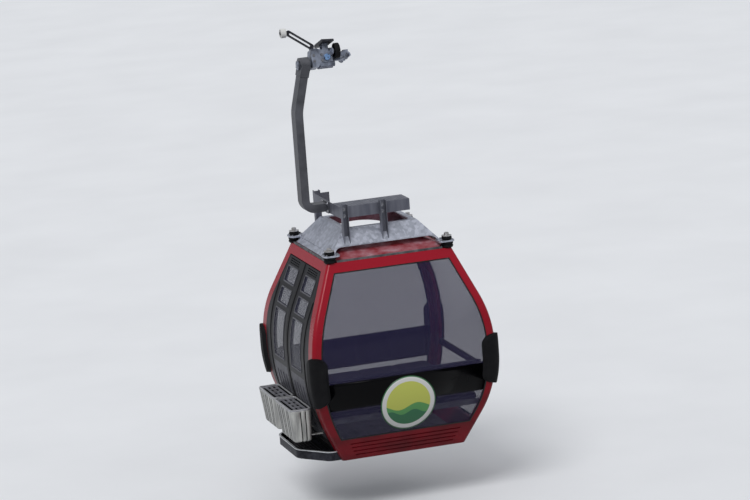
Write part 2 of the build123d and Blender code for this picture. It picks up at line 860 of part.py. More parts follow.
# Hanger: a bent box tube between the bearing head and the upper frame's flange
head = Vector(head_x, 0, swing_z)
elbow = Vector(elbow_x, 0, elbow_z)
down = (elbow - head).normalized()
head_len = 115.0
flange_w = 14.0
foot_z = edge_z + foot_level
end_x = cabin_x + foot_end - flange_w - 2 * fit
tube_start = head + down * head_len
with BuildPart() as hanger_tube:
    with BuildLine() as route:
        FilletPolyline(
            tube_start, elbow, (elbow_x, 0, foot_z), (end_x, 0, foot_z), radius=(420, 90)
        )
    with BuildSketch(Plane(origin=tube_start, x_dir=(0, 1, 0), z_dir=down)):
        Rectangle(tube_y, tube_x)
        Rectangle(tube_y - 2 * tube_wall, tube_x - 2 * tube_wall, mode=Mode.SUBTRACT)
    sweep()
    flange = Plane(origin=(end_x, 0, foot_z), x_dir=(0, 1, 0), z_dir=(1, 0, 0))
    with BuildSketch(flange):
        Rectangle(2 * foot_half - 20, beam_h)
    extrude(amount=flange_w + fit)
save(hanger_tube.part, "hanger_tube")

hub = Plane(origin=head, x_dir=(0, 1, 0), z_dir=(1, 0, 0))
with BuildPart() as hanger_head:
    with BuildSketch(Plane(origin=head, x_dir=(0, 1, 0), z_dir=down)):
        Rectangle(tube_y + 60, tube_x)
    with BuildSketch(Plane(origin=tube_start - down * fit, x_dir=(0, 1, 0), z_dir=down)):
        Rectangle(tube_y + 12, tube_x + 12)
    loft()
    with BuildSketch(hub):
        Circle(hub_r)
    extrude(amount=hub_w / 2, both=True)
    with BuildSketch(hub):
        Circle(shaft_r + running)
    extrude(amount=hub_w, both=True, mode=Mode.SUBTRACT)
save(hanger_head.part, "hanger_head")

# Grip, square to the rope: local x is world X, y stands off the rope, z runs uphill
slope = radians(rope_slope)
uphill = Vector(0, -cos(slope), sin(slope))
grip = Plane(origin=(0, 0, 0), x_dir=(1, 0, 0), z_dir=uphill)
casting_left = -350.0
casting_right = -140.0
jaw_wall = 14.0
jaw_root = -56.0
casting_top = 66.0
plate_under = plate_up - 15


def across(x, up=0.0, along=0.0):
    """Plane square to X on the grip, its x uphill along the rope and its y off the rope."""
    origin = grip.from_local_coords(Vector(x, up, along))
    return Plane(origin=origin, x_dir=uphill, z_dir=(-1, 0, 0))


spring_r = 30.0
spring_up = -54.0
spring_along = 40.0
with BuildPart() as grip_body:
    with BuildSketch(grip):
        with BuildLine():
            Polyline(
                (casting_left, -78),
                (casting_left, 46),
                (lever_x - 22, 104),
                (lever_x + 30, 104),
                (casting_right - 60, casting_top),
                (casting_right, casting_top),
                (casting_right, -42),
                (casting_left + 90, -42),
                (casting_left + 60, -78),
                close=True,
            )
        make_face()
    extrude(amount=body_len / 2, both=True)
    # Slim neck to the jaw, between the running wheels
    with BuildSketch(grip):
        with Locations(((casting_right + jaw_root) / 2 - 10, 12)):
            Rectangle(jaw_root - casting_right + 30, 76)
    extrude(amount=31, both=True)
    # Fixed jaw round the door side of the rope
    with BuildSketch(grip):
        Circle(rope_r + jaw_wall)
        with Locations((jaw_root / 2 - 10, 14)):
            Rectangle(-jaw_root + 12, 46)
        with Locations((reach / 2, 0)):
            Rectangle(reach, reach, mode=Mode.SUBTRACT)
    extrude(amount=jaw_len / 2, both=True)
    with BuildSketch(grip):
        Circle(rope_r)
    extrude(amount=jaw_len, both=True, mode=Mode.SUBTRACT)
    # Plate that carries the wheel axles, and stands for the friction plate
    with BuildSketch(across(casting_right, wheel_up)):
        SlotOverall(wheel_base + 70, 66)
    extrude(amount=14)
    with BuildSketch(grip):
        with Locations((casting_right - 50, (plate_under + casting_top) / 2 - 10)):
            Rectangle(54, plate_under - casting_top + 20)
    extrude(amount=body_len / 2 - 20, both=True)
    with BuildSketch(grip):
        with Locations((casting_right - 50, plate_up - 40)):
            Rectangle(80, 46)
    extrude(amount=body_len / 2 - 34, both=True, mode=Mode.SUBTRACT)
    for along in (-spring_along, spring_along):
        with BuildSketch(across(casting_left + 78, spring_up, along)):
            Circle(spring_r + fit)
        extrude(amount=-reach, mode=Mode.SUBTRACT)
save(grip_body.part, "grip_body")

with BuildPart() as spring_housings:
    for along in (-spring_along, spring_along):
        with BuildSketch(across(casting_left + 78 + fit, spring_up, along)):
            Circle(spring_r)
        extrude(amount=-(casting_right - casting_left - 78 + 18))
save(spring_housings.part, "spring_housings")

with BuildPart() as moving_jaw:
    with BuildSketch(grip):
        Circle(rope_r + jaw_wall)
        with Locations((-8, rope_r + jaw_wall + 8)):
            Rectangle(48, 18)
        Circle(rope_r + fit, mode=Mode.SUBTRACT)
        with Locations((-reach / 2 + 2, 0)):
            Rectangle(reach, 2 * (rope_r + jaw_wall) + 2 * fit, mode=Mode.SUBTRACT)
        with Locations((0, -reach / 2 - 12)):
            Rectangle(reach, reach, mode=Mode.SUBTRACT)
    extrude(amount=jaw_len / 2 - 8, both=True)
save(moving_jaw.part, "moving_jaw")

with BuildPart() as jaw_pins:
    for side in (-1, 1):
        with BuildSketch(grip.offset(side * (body_len / 2 + fit))):
            with Locations((casting_right - 56, 6)):
                Circle(32)
        extrude(amount=side * 18)
    fillet(jaw_pins.edges().filter_by(GeomType.CIRCLE), 4)
save(jaw_pins.part, "jaw_pins")

# Shaft that the hanger swings on, with its end washer
with BuildPart() as hanger_shaft:
    shaft_plane = Plane(origin=(casting_left - fit, 0, swing_z), x_dir=(0, 1, 0), z_dir=(-1, 0, 0))
    outer_face = head_x - hub_w / 2 - 8
    with BuildSketch(shaft_plane):
        Circle(shaft_r)
    extrude(amount=casting_left - outer_face + 14)
    with BuildSketch(shaft_plane.offset(casting_left - outer_face)):
        Circle(shaft_r + 16)
    extrude(amount=12)
save(hanger_shaft.part, "hanger_shaft")

# Lever that opens the jaw: a forged loop with a stub for its roller
lever_end = Vector(roller_x + 52, roller_up - 6)
lever_mid = Vector(lever_x, lever_up + 62)
lever_run = lever_end - lever_mid
with BuildPart() as grip_lever:
    turn = Vector(1, 0, 0).get_angle(lever_run)
    middle = (lever_end + lever_mid) / 2
    with BuildSketch(grip):
        with Locations((middle.X, middle.Y)):
            SlotCenterToCenter(lever_run.length, 52, rotation=turn)
            SlotCenterToCenter(lever_run.length - 44, 26, rotation=turn, mode=Mode.SUBTRACT)
        with Locations((lever_x, lever_up + 46)):
            Rectangle(40, 32)
    extrude(amount=15, both=True)
    with BuildSketch(across(lever_end.X, roller_up)):
        Circle(15)
    extrude(amount=lever_end.X - roller_x - roller_w / 2 - 1)
    with BuildSketch(across(lever_end.X, roller_up)):
        Circle(10)
    extrude(amount=lever_end.X - roller_x + roller_w / 2 + 6)
    with BuildSketch(across(roller_x - roller_w / 2 - 1, roller_up)):
        Circle(16)
    extrude(amount=6)
    with Locations(grip.location * Location((lever_x, 0, 0))):
        Box(200, 2 * (104 + fit), 200, mode=Mode.SUBTRACT)
save(grip_lever.part, "grip_lever")


def turned_wheel(radius, width, bore, x, up, along, groove, name):
    """Wheel on an axle along X, dished on both faces."""
    with BuildPart() as wheel:
        with BuildSketch(across(x, up, along)):
            Circle(radius)
            Circle(bore + running, mode=Mode.SUBTRACT)
        extrude(amount=width / 2, both=True)
        fillet(wheel.faces().filter_by(GeomType.CYLINDER).sort_by(SortBy.AREA)[-1].edges(), 6)
        for side in (-1, 1):
            with BuildSketch(across(x - side * width / 2, up, along)):
                Circle(radius - groove)
                Circle(bore + 12, mode=Mode.SUBTRACT)
            extrude(amount=-side * width / 5, mode=Mode.SUBTRACT)
    save(wheel.part, name)


turned_wheel(roller_r, roller_w, 10, roller_x, roller_up, 0, 12, "lever_roller")
wheel_places = (("uphill_wheel", wheel_base / 2), ("downhill_wheel", -wheel_base / 2))
for name, along in wheel_places:
    turned_wheel(wheel_r, wheel_w, 12, wheel_x, wheel_up, along, 20, name)

with BuildPart() as wheel_axles:
    for name, along in wheel_places:
        with BuildSketch(across(casting_right + fit, wheel_up, along)):
            Circle(12)
        extrude(amount=-(wheel_x - casting_right + wheel_w / 2 + 8))
        with BuildSketch(across(wheel_x + wheel_w / 2 + 1, wheel_up, along)):
            Circle(18)
        extrude(amount=-7)
save(wheel_axles.part, "wheel_axles")

with BuildPart() as friction_plate:
    with BuildSketch(grip):
        with BuildLine():
            low = plate_under + fit
            Polyline(
                (casting_right - 100, low),
                (casting_right + 20, low),
                (casting_right + 20, low + 22),
                (casting_right - 100, low + 30),
                close=True,
            )
        make_face()
    extrude(amount=150, both=True)
    off_rope = Axis((0, 0, 0), grip.y_dir)
    ends = friction_plate.faces().sort_by(Axis((0, 0, 0), uphill))
    chamfer([ends[0].edges().sort_by(off_rope)[-1], ends[-1].edges().sort_by(off_rope)[-1]], 14)
save(friction_plate.part, "friction_plate")
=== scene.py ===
"""Looks of a ropeway gondola cabin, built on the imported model.

Metres, +Z up, origin on the rope in the grip's jaws.
"""

import math

import bmesh
import bpy
from mathutils import Matrix, Vector


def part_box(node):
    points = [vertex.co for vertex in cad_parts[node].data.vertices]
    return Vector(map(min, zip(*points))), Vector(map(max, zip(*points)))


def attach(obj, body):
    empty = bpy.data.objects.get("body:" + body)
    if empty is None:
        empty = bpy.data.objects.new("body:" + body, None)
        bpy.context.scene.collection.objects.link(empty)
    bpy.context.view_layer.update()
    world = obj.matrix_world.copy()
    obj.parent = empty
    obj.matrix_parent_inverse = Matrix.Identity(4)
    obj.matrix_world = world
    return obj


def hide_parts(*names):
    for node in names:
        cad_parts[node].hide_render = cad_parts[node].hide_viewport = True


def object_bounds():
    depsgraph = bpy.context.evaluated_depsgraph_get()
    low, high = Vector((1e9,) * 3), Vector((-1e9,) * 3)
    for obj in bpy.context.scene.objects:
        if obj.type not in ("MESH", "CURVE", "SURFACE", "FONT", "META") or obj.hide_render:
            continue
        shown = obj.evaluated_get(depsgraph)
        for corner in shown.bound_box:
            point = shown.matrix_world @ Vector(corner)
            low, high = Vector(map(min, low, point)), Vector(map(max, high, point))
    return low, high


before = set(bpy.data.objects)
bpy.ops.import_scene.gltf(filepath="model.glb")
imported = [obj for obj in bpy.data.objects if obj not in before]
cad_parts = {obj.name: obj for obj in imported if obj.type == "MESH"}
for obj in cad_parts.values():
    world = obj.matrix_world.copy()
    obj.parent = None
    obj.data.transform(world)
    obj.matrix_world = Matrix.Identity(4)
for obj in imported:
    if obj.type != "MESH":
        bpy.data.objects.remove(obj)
cad_box = [list(corner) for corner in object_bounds()]

# Camera
# The photograph looks down at the uphill end and the door side from a long way off, and the cabin hangs a
# few degrees out of plumb in it, so the camera is rolled by that much instead.
view_azimuth = math.radians(-17.0)
view_elevation = math.radians(11.7)
view_roll = math.radians(4.24)
view_distance = 32.0
view_target = Vector((0.166, 0.0, -1.942))
sight = Vector(
    (
        math.sin(view_azimuth) * math.cos(view_elevation),
        -math.cos(view_azimuth) * math.cos(view_elevation),
        math.sin(view_elevation),
    )
)
level = Vector((math.cos(view_azimuth), math.sin(view_azimuth), 0.0))
upright = sight.cross(level)
camera_right = level * math.cos(view_roll) - upright * math.sin(view_roll)
camera_up = level * math.sin(view_roll) + upright * math.cos(view_roll)
camera = bpy.data.objects.new("camera", bpy.data.cameras.new("camera"))
camera.matrix_world = Matrix.Translation(view_target + sight * view_distance) @ Matrix(
    (
        (camera_right.x, camera_up.x, sight.x, 0),
        (camera_right.y, camera_up.y, sight.y, 0),
        (camera_right.z, camera_up.z, sight.z, 0),
        (0, 0, 0, 1),
    )
)
camera.data.lens = 156
camera.data.clip_end = 400
bpy.context.scene.collection.objects.link(camera)
bpy.context.scene.camera = camera
bpy.context.scene.view_settings.view_transform = "Standard"


# Floor, sky and lamp
# A pale floor well below the hanging cabin, an overcast sky that is brighter overhead, and one soft sun.
def new_material(name, colour, roughness, metallic=0.0, **sockets):
    """A Principled material and its shader; sockets are set by name, with spaces as underscores."""
    made = bpy.data.materials.new(name)
    made.use_nodes = True
    shader = made.node_tree.nodes["Principled BSDF"]
    shader.inputs["Base Color"].default_value = (*colour, 1)
    shader.inputs["Roughness"].default_value = roughness
    shader.inputs["Metallic"].default_value = metallic
    for socket, value in sockets.items():
        shader.inputs[socket.replace("_", " ")].default_value = value
    return made, shader


def wire(material, kind, inputs=(), **settings):
    """A node of a kind, its settings set and its inputs given as values or linked from sockets."""
    made = material.node_tree.nodes.new(kind)
    for name, value in settings.items():
        setattr(made, name, value)
    for name, value in dict(inputs).items():
        if isinstance(value, bpy.types.NodeSocket):
            material.node_tree.links.new(value, made.inputs[name])
        else:
            made.inputs[name].default_value = value
    return made


def pattern(material, kind, scale, stretch=(1, 1, 1), inputs=(), **settings):
    """A texture on Object coordinates, stretched along X, Y and Z."""
    place = wire(material, "ShaderNodeTexCoord").outputs["Object"]
    mapped = wire(material, "ShaderNodeMapping", {"Vector": place, "Scale": stretch})
    values = {"Vector": mapped.outputs["Vector"], "Scale": scale, **dict(inputs)}
    return wire(material, kind, values, **settings)


def graded(material, factor, stops):
    """A colour ramp over a factor, from a short list of (position, colour)."""
    ramp = wire(material, "ShaderNodeValToRGB", {"Fac": factor})
    while len(ramp.color_ramp.elements) < len(stops):
        ramp.color_ramp.elements.new(0.5)
    for element, (position, colour) in zip(ramp.color_ramp.elements, stops):
        element.position = position
        element.color = (*colour, 1)
    return ramp.outputs["Color"]


def ranged(material, factor, low, high, from_low=0.0, from_high=1.0):
    """A value that runs from low to high as a factor goes over its own range."""
    values = {
        "Value": factor,
        "From Min": from_low,
        "From Max": from_high,
        "To Min": low,
        "To Max": high,
    }
    return wire(material, "ShaderNodeMapRange", values).outputs["Result"]


def link(material, socket, shader, name):
    material.node_tree.links.new(socket, shader.inputs[name])


def bump(material, shader, height, distance, strength=1.0):
    values = {"Height": height, "Distance": distance, "Strength": strength}
    link(material, wire(material, "ShaderNodeBump", values).outputs["Normal"], shader, "Normal")


floor_drop = 0.55
floor_size = 150.0
floor_mesh = bpy.data.meshes.new("floor")
floor_form = bmesh.new()
bmesh.ops.create_grid(floor_form, x_segments=1, y_segments=1, size=floor_size)
floor_form.to_mesh(floor_mesh)
floor_form.free()
floor = bpy.data.objects.new("floor", floor_mesh)
floor.location.z = cad_box[0][2] - floor_drop
bpy.context.scene.collection.objects.link(floor)
floor_paint, floor_shader = new_material("floor_paint", (0.80, 0.81, 0.83), 0.9)
speckle = pattern(floor_paint, "ShaderNodeTexNoise", 0.6, inputs={"Detail": 3.0})
floor_tones = [(0.3, (0.80, 0.81, 0.83)), (0.7, (0.84, 0.85, 0.87))]
pale = graded(floor_paint, speckle.outputs["Fac"], floor_tones)
rays = wire(floor_paint, "ShaderNodeLightPath").outputs
seen = rays["Is Camera Ray"]
for kind in ("Is Glossy Ray", "Is Transmission Ray"):
    values = {0: seen, 1: rays[kind]}
    seen = wire(floor_paint, "ShaderNodeMath", values, operation="MAXIMUM").outputs[0]
unseen = (0.20, 0.20, 0.21, 1)
floor_mix = wire(floor_paint, "ShaderNodeMix", {0: seen, 6: unseen, 7: pale}, data_type="RGBA")
link(floor_paint, floor_mix.outputs[2], floor_shader, "Base Color")
floor_mesh.materials.append(floor_paint)

sky = bpy.data.worlds.new("sky")
sky.use_nodes = True
sky_light = sky.node_tree.nodes["Background"]
sky_place = wire(sky, "ShaderNodeTexCoord").outputs["Generated"]
sky_height = wire(sky, "ShaderNodeSeparateXYZ", {"Vector": sky_place}).outputs["Z"]
sky_tones = [(0.48, (0.42, 0.44, 0.48)), (0.56, (0.66, 0.69, 0.74)), (0.8, (0.95, 0.97, 1.0))]
sky_factor = ranged(sky, sky_height, 0.0, 1.0, -1.0, 1.0)
sky.node_tree.links.new(graded(sky, sky_factor, sky_tones), sky_light.inputs["Color"])
sky_light.inputs["Strength"].default_value = 0.62
bpy.context.scene.world = sky

sun = bpy.data.objects.new("sun", bpy.data.lights.new("sun", "SUN"))
sun.data.energy = 1.35
sun.data.angle = math.radians(25)
sun.rotation_euler = (math.radians(38), math.radians(-16), math.radians(-20))
bpy.context.scene.collection.objects.link(sun)


# Red body frame
# Bent corner posts, top ring and louvred lower panels: welded sheet and tube in red enamel, which turns
# darker and duller towards the sill.
def dress(material, slot, *names):
    """Gives CAD nodes one material; the slot is not used."""
    for name in names:
        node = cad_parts[name]
        node.data.materials.clear()
        node.data.materials.append(material)


def downward_share(material, top, bottom):
    """How far down a piece a point is, from 0 at the top to 1 at the bottom, broken up by noise."""
    place = wire(material, "ShaderNodeTexCoord").outputs["Object"]
    height = wire(material, "ShaderNodeSeparateXYZ", {"Vector": place}).outputs["Z"]
    share = ranged(material, height, 1.0, 0.0, bottom, top)
    blotch = pattern(material, "ShaderNodeTexNoise", 3.0, (1, 1, 2), {"Detail": 6.0}).outputs["Fac"]
    values = {0: share, 1: blotch}
    return wire(material, "ShaderNodeMath", values, operation="MULTIPLY").outputs[0]


red_enamel, red_shader = new_material(
    "red_enamel", (0.30, 0.003, 0.012), 0.3, Coat_Weight=0.1, Coat_Roughness=0.1, Specular_IOR_Level=0.2
)
posts_low, posts_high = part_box("corner_posts")
fade = downward_share(red_enamel, posts_high.z, posts_low.z)
# Red that darkens from the top of the posts towards the sill.
red_tones = [
    (0.0, (0.36, 0.004, 0.018)),
    (0.25, (0.29, 0.002, 0.012)),
    (0.5, (0.17, 0.003, 0.009)),
    (0.8, (0.070, 0.008, 0.011)),
]
link(red_enamel, graded(red_enamel, fade, red_tones), red_shader, "Base Color")
link(red_enamel, ranged(red_enamel, fade, 0.22, 0.65), red_shader, "Roughness")
ripple = pattern(red_enamel, "ShaderNodeTexNoise", 9.0, inputs={"Detail": 2.0}).outputs["Fac"]
bump(red_enamel, red_shader, ripple, 0.0006)
dress(
    red_enamel,
    "red_frame",
    "corner_posts",
    "top_ring",
    "front_lower_panel",
    "back_lower_panel",
    "far_lower_panel",
)

# Roof skin
# The same red enamel on the moulded roof, chalked pink and scuffed where it lies under the sky.
roof_red, roof_red_shader = new_material("roof_red", (0.24, 0.03, 0.04), 0.6, Specular_IOR_Level=0.3)
chalking = pattern(roof_red, "ShaderNodeTexNoise", 7.0, (1, 1, 3), {"Detail": 8.0}).outputs["Fac"]
chalk_tones = [(0.36, (0.22, 0.010, 0.018)), (0.52, (0.33, 0.10, 0.12)), (0.70, (0.42, 0.25, 0.29))]
link(roof_red, graded(roof_red, chalking, chalk_tones), roof_red_shader, "Base Color")
bump(roof_red, roof_red_shader, chalking, 0.0006)
dress(roof_red, "red_frame", "roof_shell")

# Tinted windows
# Smoke-tinted sheets, bent to the body and bonded flush between the posts, with faint dust on the outside.
smoke_glass, glass_shader = new_material(
    "smoke_glass", (0.034, 0.028, 0.090), 0.12, Alpha=0.37, IOR=1.45, Specular_IOR_Level=0.3
)
dust = pattern(smoke_glass, "ShaderNodeTexNoise", 2.2, (1, 1, 0.5), {"Detail": 8.0}).outputs["Fac"]
link(smoke_glass, ranged(smoke_glass, dust, 0.10, 0.20, 0.35, 0.75), glass_shader, "Roughness")
glass_tones = [(0.35, (0.030, 0.025, 0.082)), (0.8, (0.046, 0.040, 0.105))]
link(smoke_glass, graded(smoke_glass, dust, glass_tones), glass_shader, "Base Color")
dress(smoke_glass, "tinted_glass", "front_window", "back_window", "far_window")

# Seals round the tinted windows
# Black rubber profiles, 14 mm wide, that lie on the edge of each sheet and hold it against the posts.
seal_rubber, seal_shader = new_material("seal_rubber", (0.008, 0.008, 0.009), 0.55, Specular_IOR_Level=0.3)
seal_noise = pattern(seal_rubber, "ShaderNodeTexNoise", 40.0, inputs={"Detail": 4.0}).outputs["Fac"]
link(seal_rubber, ranged(seal_rubber, seal_noise, 0.45, 0.7), seal_shader, "Roughness")
seal_width = 0.014
seal_proud = 0.003
merge_gap = 0.00005
facing_share = 0.4
sharp_angle = math.radians(32)
rounded_angle = math.radians(35)


def outer_face(source, outward):
    """A form with only those faces of a CAD node that look outward."""
    form = bmesh.new()
    form.from_mesh(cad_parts[source].data)
    bmesh.ops.remove_doubles(form, verts=form.verts, dist=merge_gap)
    form.normal_update()
    other = [face for face in form.faces if face.normal.dot(Vector(outward)) < facing_share]
    bmesh.ops.delete(form, geom=other, context="FACES")
    return form


def piece(name, form, material, body, thickness=0.0, bevel=0.0):
    """A new object from a form, riding on a body, thickened outward and rounded on its edges."""
    mesh = bpy.data.meshes.new(name)
    form.to_mesh(mesh)
    form.free()
    mesh.materials.append(material)
    for polygon in mesh.polygons:
        polygon.use_smooth = True
    mesh.set_sharp_from_angle(angle=sharp_angle)
    made = bpy.data.objects.new(name, mesh)
    bpy.context.scene.collection.objects.link(made)
    if thickness:
        plate = made.modifiers.new("thickness", "SOLIDIFY")
        plate.thickness = thickness
        plate.offset = 1
    if bevel:
        edges = made.modifiers.new("edges", "BEVEL")
        edges.width = bevel
        edges.segments = 2
        edges.limit_method = "ANGLE"
        edges.angle_limit = rounded_angle
        edges.harden_normals = True
    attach(made, body)
    return made


def edging(name, source, outward, width, proud, material, body):
    """Raised strip along every edge of a CAD node's outward face."""
    form = outer_face(source, outward)
    strips = bmesh.ops.inset_region(
        form, faces=form.faces[:], thickness=width, use_boundary=True, use_even_offset=False
    )
    kept = set(strips["faces"])
    rest = [face for face in form.faces if face not in kept]
    bmesh.ops.delete(form, geom=rest, context="FACES")
    return piece(name, form, material, body, proud)


for name, source, outward in (
    ("front_window_seal", "front_window", (0, -1, 0)),
    ("back_window_seal", "back_window", (0, 1, 0)),
    ("far_window_seal", "far_window", (1, 0, 0)),
):
    edging(name, source, outward, seal_width, seal_proud, seal_rubber, "cabin")

# Black bands across the end windows
# Gloss black film on the sheet in front of each bench back, from post to post. Here and below, a drop is
# measured down from edge_z, the height of the body's top edge.
black_film, film_shader = new_material("black_film", (0.001, 0.001, 0.0015), 0.2, Specular_IOR_Level=0.08)
film_dust = pattern(black_film, "ShaderNodeTexNoise", 5.0, inputs={"Detail": 6.0}).outputs["Fac"]
link(black_film, ranged(black_film, film_dust, 0.12, 0.3, 0.35, 0.75), film_shader, "Roughness")
edge_z = -1.880
band_top = 1.125
band_low = 1.400
film_thickness = 0.0012
for name, source, outward in (
    ("front_band", "front_window", (0, -1, 0)),
    ("back_band", "back_window", (0, 1, 0)),
):
    band = outer_face(source, outward)
    for cut_z, keep_up in ((edge_z - band_top, False), (edge_z - band_low, True)):
        bmesh.ops.bisect_plane(
            band,
            geom=band.verts[:] + band.edges[:] + band.faces[:],
            plane_co=(0, 0, cut_z),
            plane_no=(0, 0, 1),
            clear_outer=not keep_up,
            clear_inner=keep_up,
        )
    piece(name, band, black_film, "cabin", film_thickness)

# Round sign on the front window
# Printed disc of foil in fresh colours: a green rim, a white ring and green hills under a yellow sky.
sign_foil, sign_shader = new_material("sign_foil", (0.6, 0.65, 0.2), 0.35)
sign_middle = Vector((0.130, 0.0, edge_z - 1.425))
sign_r = 0.280
disc_field = 0.80
disc_rim = 0.955
disc_rings = 12
disc_sides = 72
disc_off = 0.0030
disc_thickness = 0.0008
rim_green = (0.03, 0.14, 0.05, 1)
edge_half = 0.633
body_drop = 1.962
belt_drop = 1.0255
upper_knee, upper_radius = 0.689, 1.265
lower_knee, lower_radius = 0.600, 1.378
end_bulge = 0.255


def half_width(drop, bulge):
    """Half width of the body at a drop below its top edge, whose belt stands out by the bulge."""
    lower = drop > belt_drop
    knee, radius = (lower_knee, lower_radius) if lower else (upper_knee, upper_radius)
    run = body_drop - drop if lower else drop
    lean = math.atan2(bulge, knee)
    tangent = radius * math.tan(lean / 2)
    if run >= knee + tangent:
        return edge_half + bulge
    if run > knee - tangent * math.cos(lean):
        return edge_half + bulge - radius + math.sqrt(radius**2 - (knee + tangent - run) ** 2)
    return edge_half + run * math.tan(lean)


sign_place = wire(sign_foil, "ShaderNodeTexCoord").outputs["Object"]
sign_values = {"Vector": sign_place, "Location": (-sign_middle.x, 0, -sign_middle.z), "Scale": (1, 0, 1)}
sign_flat = wire(sign_foil, "ShaderNodeMapping", sign_values).outputs["Vector"]
sign_reach = wire(sign_foil, "ShaderNodeVectorMath", {0: sign_flat}, operation="LENGTH").outputs["Value"]
sign_axes = wire(sign_foil, "ShaderNodeSeparateXYZ", {"Vector": sign_flat}).outputs
share = ranged(sign_foil, sign_reach, 0.0, 1.0, 0.0, sign_r)
sign_rings = wire(sign_foil, "ShaderNodeValToRGB", {"Fac": share})
sign_rings.color_ramp.interpolation = "CONSTANT"
for position, colour in ((disc_field, (0.80, 0.80, 0.78, 1)), (disc_rim, rim_green)):
    sign_rings.color_ramp.elements.new(position).color = colour
sign_rings.color_ramp.elements[0].color = (0.62, 0.66, 0.13, 1)
sign_rings.color_ramp.elements[-1].color = rim_green
sign_colour = sign_rings.outputs["Color"]
for swing, pitch, lift, colour in (
    (0.030, 17.0, -0.035, (0.10, 0.34, 0.10, 1)),
    (0.022, 26.0, -0.095, (0.02, 0.15, 0.06, 1)),
):
    turned = wire(sign_foil, "ShaderNodeMath", {0: sign_axes["X"], 1: pitch}, operation="MULTIPLY")
    wave = wire(sign_foil, "ShaderNodeMath", {0: turned.outputs[0]}, operation="SINE")
    values = {0: wave.outputs[0], 1: swing, 2: lift}
    ridge = wire(sign_foil, "ShaderNodeMath", values, operation="MULTIPLY_ADD")
    values = {0: sign_axes["Z"], 1: ridge.outputs[0]}
    below = wire(sign_foil, "ShaderNodeMath", values, operation="LESS_THAN")
    inside = wire(sign_foil, "ShaderNodeMath", {0: share, 1: disc_field}, operation="LESS_THAN")
    values = {0: below.outputs[0], 1: inside.outputs[0]}
    both = wire(sign_foil, "ShaderNodeMath", values, operation="MULTIPLY")
    values = {0: both.outputs[0], 6: sign_colour, 7: colour}
    sign_colour = wire(sign_foil, "ShaderNodeMix", values, data_type="RGBA").outputs[2]
link(sign_foil, sign_colour, sign_shader, "Base Color")
sign_form = bmesh.new()
sign_rows = []
for ring in range(1, disc_rings + 1):
    row = []
    for step in range(disc_sides):
        turn = step * math.tau / disc_sides
        x = sign_middle.x + sign_r * ring / disc_rings * math.cos(turn)
        z = sign_middle.z + sign_r * ring / disc_rings * math.sin(turn)
        y = -half_width(edge_z - z, end_bulge) - disc_off
        row.append(sign_form.verts.new((x, y, z)))
    sign_rows.append(row)
centre_y = -half_width(edge_z - sign_middle.z, end_bulge) - disc_off
sign_centre = sign_form.verts.new((sign_middle.x, centre_y, sign_middle.z))
for step in range(disc_sides):
    after = (step + 1) % disc_sides
    sign_form.faces.new((sign_centre, sign_rows[0][step], sign_rows[0][after]))
    for inner_row, outer_row in zip(sign_rows, sign_rows[1:]):
        sign_form.faces.new((inner_row[step], outer_row[step], outer_row[after], inner_row[after]))
bmesh.ops.recalc_face_normals(sign_form, faces=sign_form.faces[:])
piece("front_sign", sign_form, sign_foil, "cabin", disc_thickness)

# Door windows
# Smoke-tinted sheets as in the other windows, a shade greyer and under a duller film of dust, glued into
# each leaf.
dark_glass, dark_glass_shader = new_material(
    "dark_glass", (0.026, 0.026, 0.066), 0.14, Alpha=0.36, IOR=1.45, Specular_IOR_Level=0.3
)
film = pattern(dark_glass, "ShaderNodeTexNoise", 3.0, (1, 1, 0.5), {"Detail": 7.0}).outputs["Fac"]
link(dark_glass, ranged(dark_glass, film, 0.12, 0.24, 0.35, 0.75), dark_glass_shader, "Roughness")
dress(dark_glass, "tinted_glass", "front_door_windows", "rear_door_windows")

# Trims round the door windows
# Grey rubber beading, 13 mm wide, pressed in between each pane and its leaf.
bead_rubber, bead_shader = new_material("bead_rubber", (0.10, 0.10, 0.12), 0.5, Specular_IOR_Level=0.3)
bead_noise = pattern(bead_rubber, "ShaderNodeTexNoise", 30.0, inputs={"Detail": 4.0}).outputs["Fac"]
bead_tones = [(0.3, (0.06, 0.06, 0.075)), (0.75, (0.15, 0.15, 0.17))]
link(bead_rubber, graded(bead_rubber, bead_noise, bead_tones), bead_shader, "Base Color")
bead_width = 0.013
bead_proud = 0.004
for end in ("front", "rear"):
    edging(
        f"{end}_window_beads",
        f"{end}_door_windows",
        (-1, 0, 0),
        bead_width,
        bead_proud,
        bead_rubber,
        f"{end} door",
    )

# Door frame, leaves and far rail
# Powder-coated black aluminium, satin, with fine orange peel and grey dust in its lower part.
black_coat, black_shader = new_material(
    "black_coat", (0.008, 0.008, 0.010), 0.42, Specular_IOR_Level=0.16
)
coat_fade = downward_share(black_coat, posts_high.z, posts_low.z)
black_tones = [(0.0, (0.006, 0.006, 0.008)), (0.5, (0.011, 0.011, 0.013)), (0.85, (0.030, 0.029, 0.028))]
link(black_coat, graded(black_coat, coat_fade, black_tones), black_shader, "Base Color")
peel = pattern(black_coat, "ShaderNodeTexNoise", 260.0, inputs={"Detail": 2.0}).outputs["Fac"]
bump(black_coat, black_shader, peel, 0.0003)
dress(black_coat, "black_frame", "door_frame", "front_door_leaf", "rear_door_leaf", "far_rail")

# Bench backs
# Moulded shells of black grained plastic that close off the windows at the height of the seats.
black_shell, shell_shader = new_material("black_shell", (0.004, 0.004, 0.005), 0.6, Specular_IOR_Level=0.15)
shell_grain = pattern(black_shell, "ShaderNodeTexNoise", 12.0, inputs={"Detail": 5.0}).outputs["Fac"]
shell_tones = [(0.3, (0.002, 0.002, 0.003)), (0.8, (0.006, 0.006, 0.007))]
link(black_shell, graded(black_shell, shell_grain, shell_tones), shell_shader, "Base Color")
dress(black_shell, "black_frame", "front_bench_back", "back_bench_back")

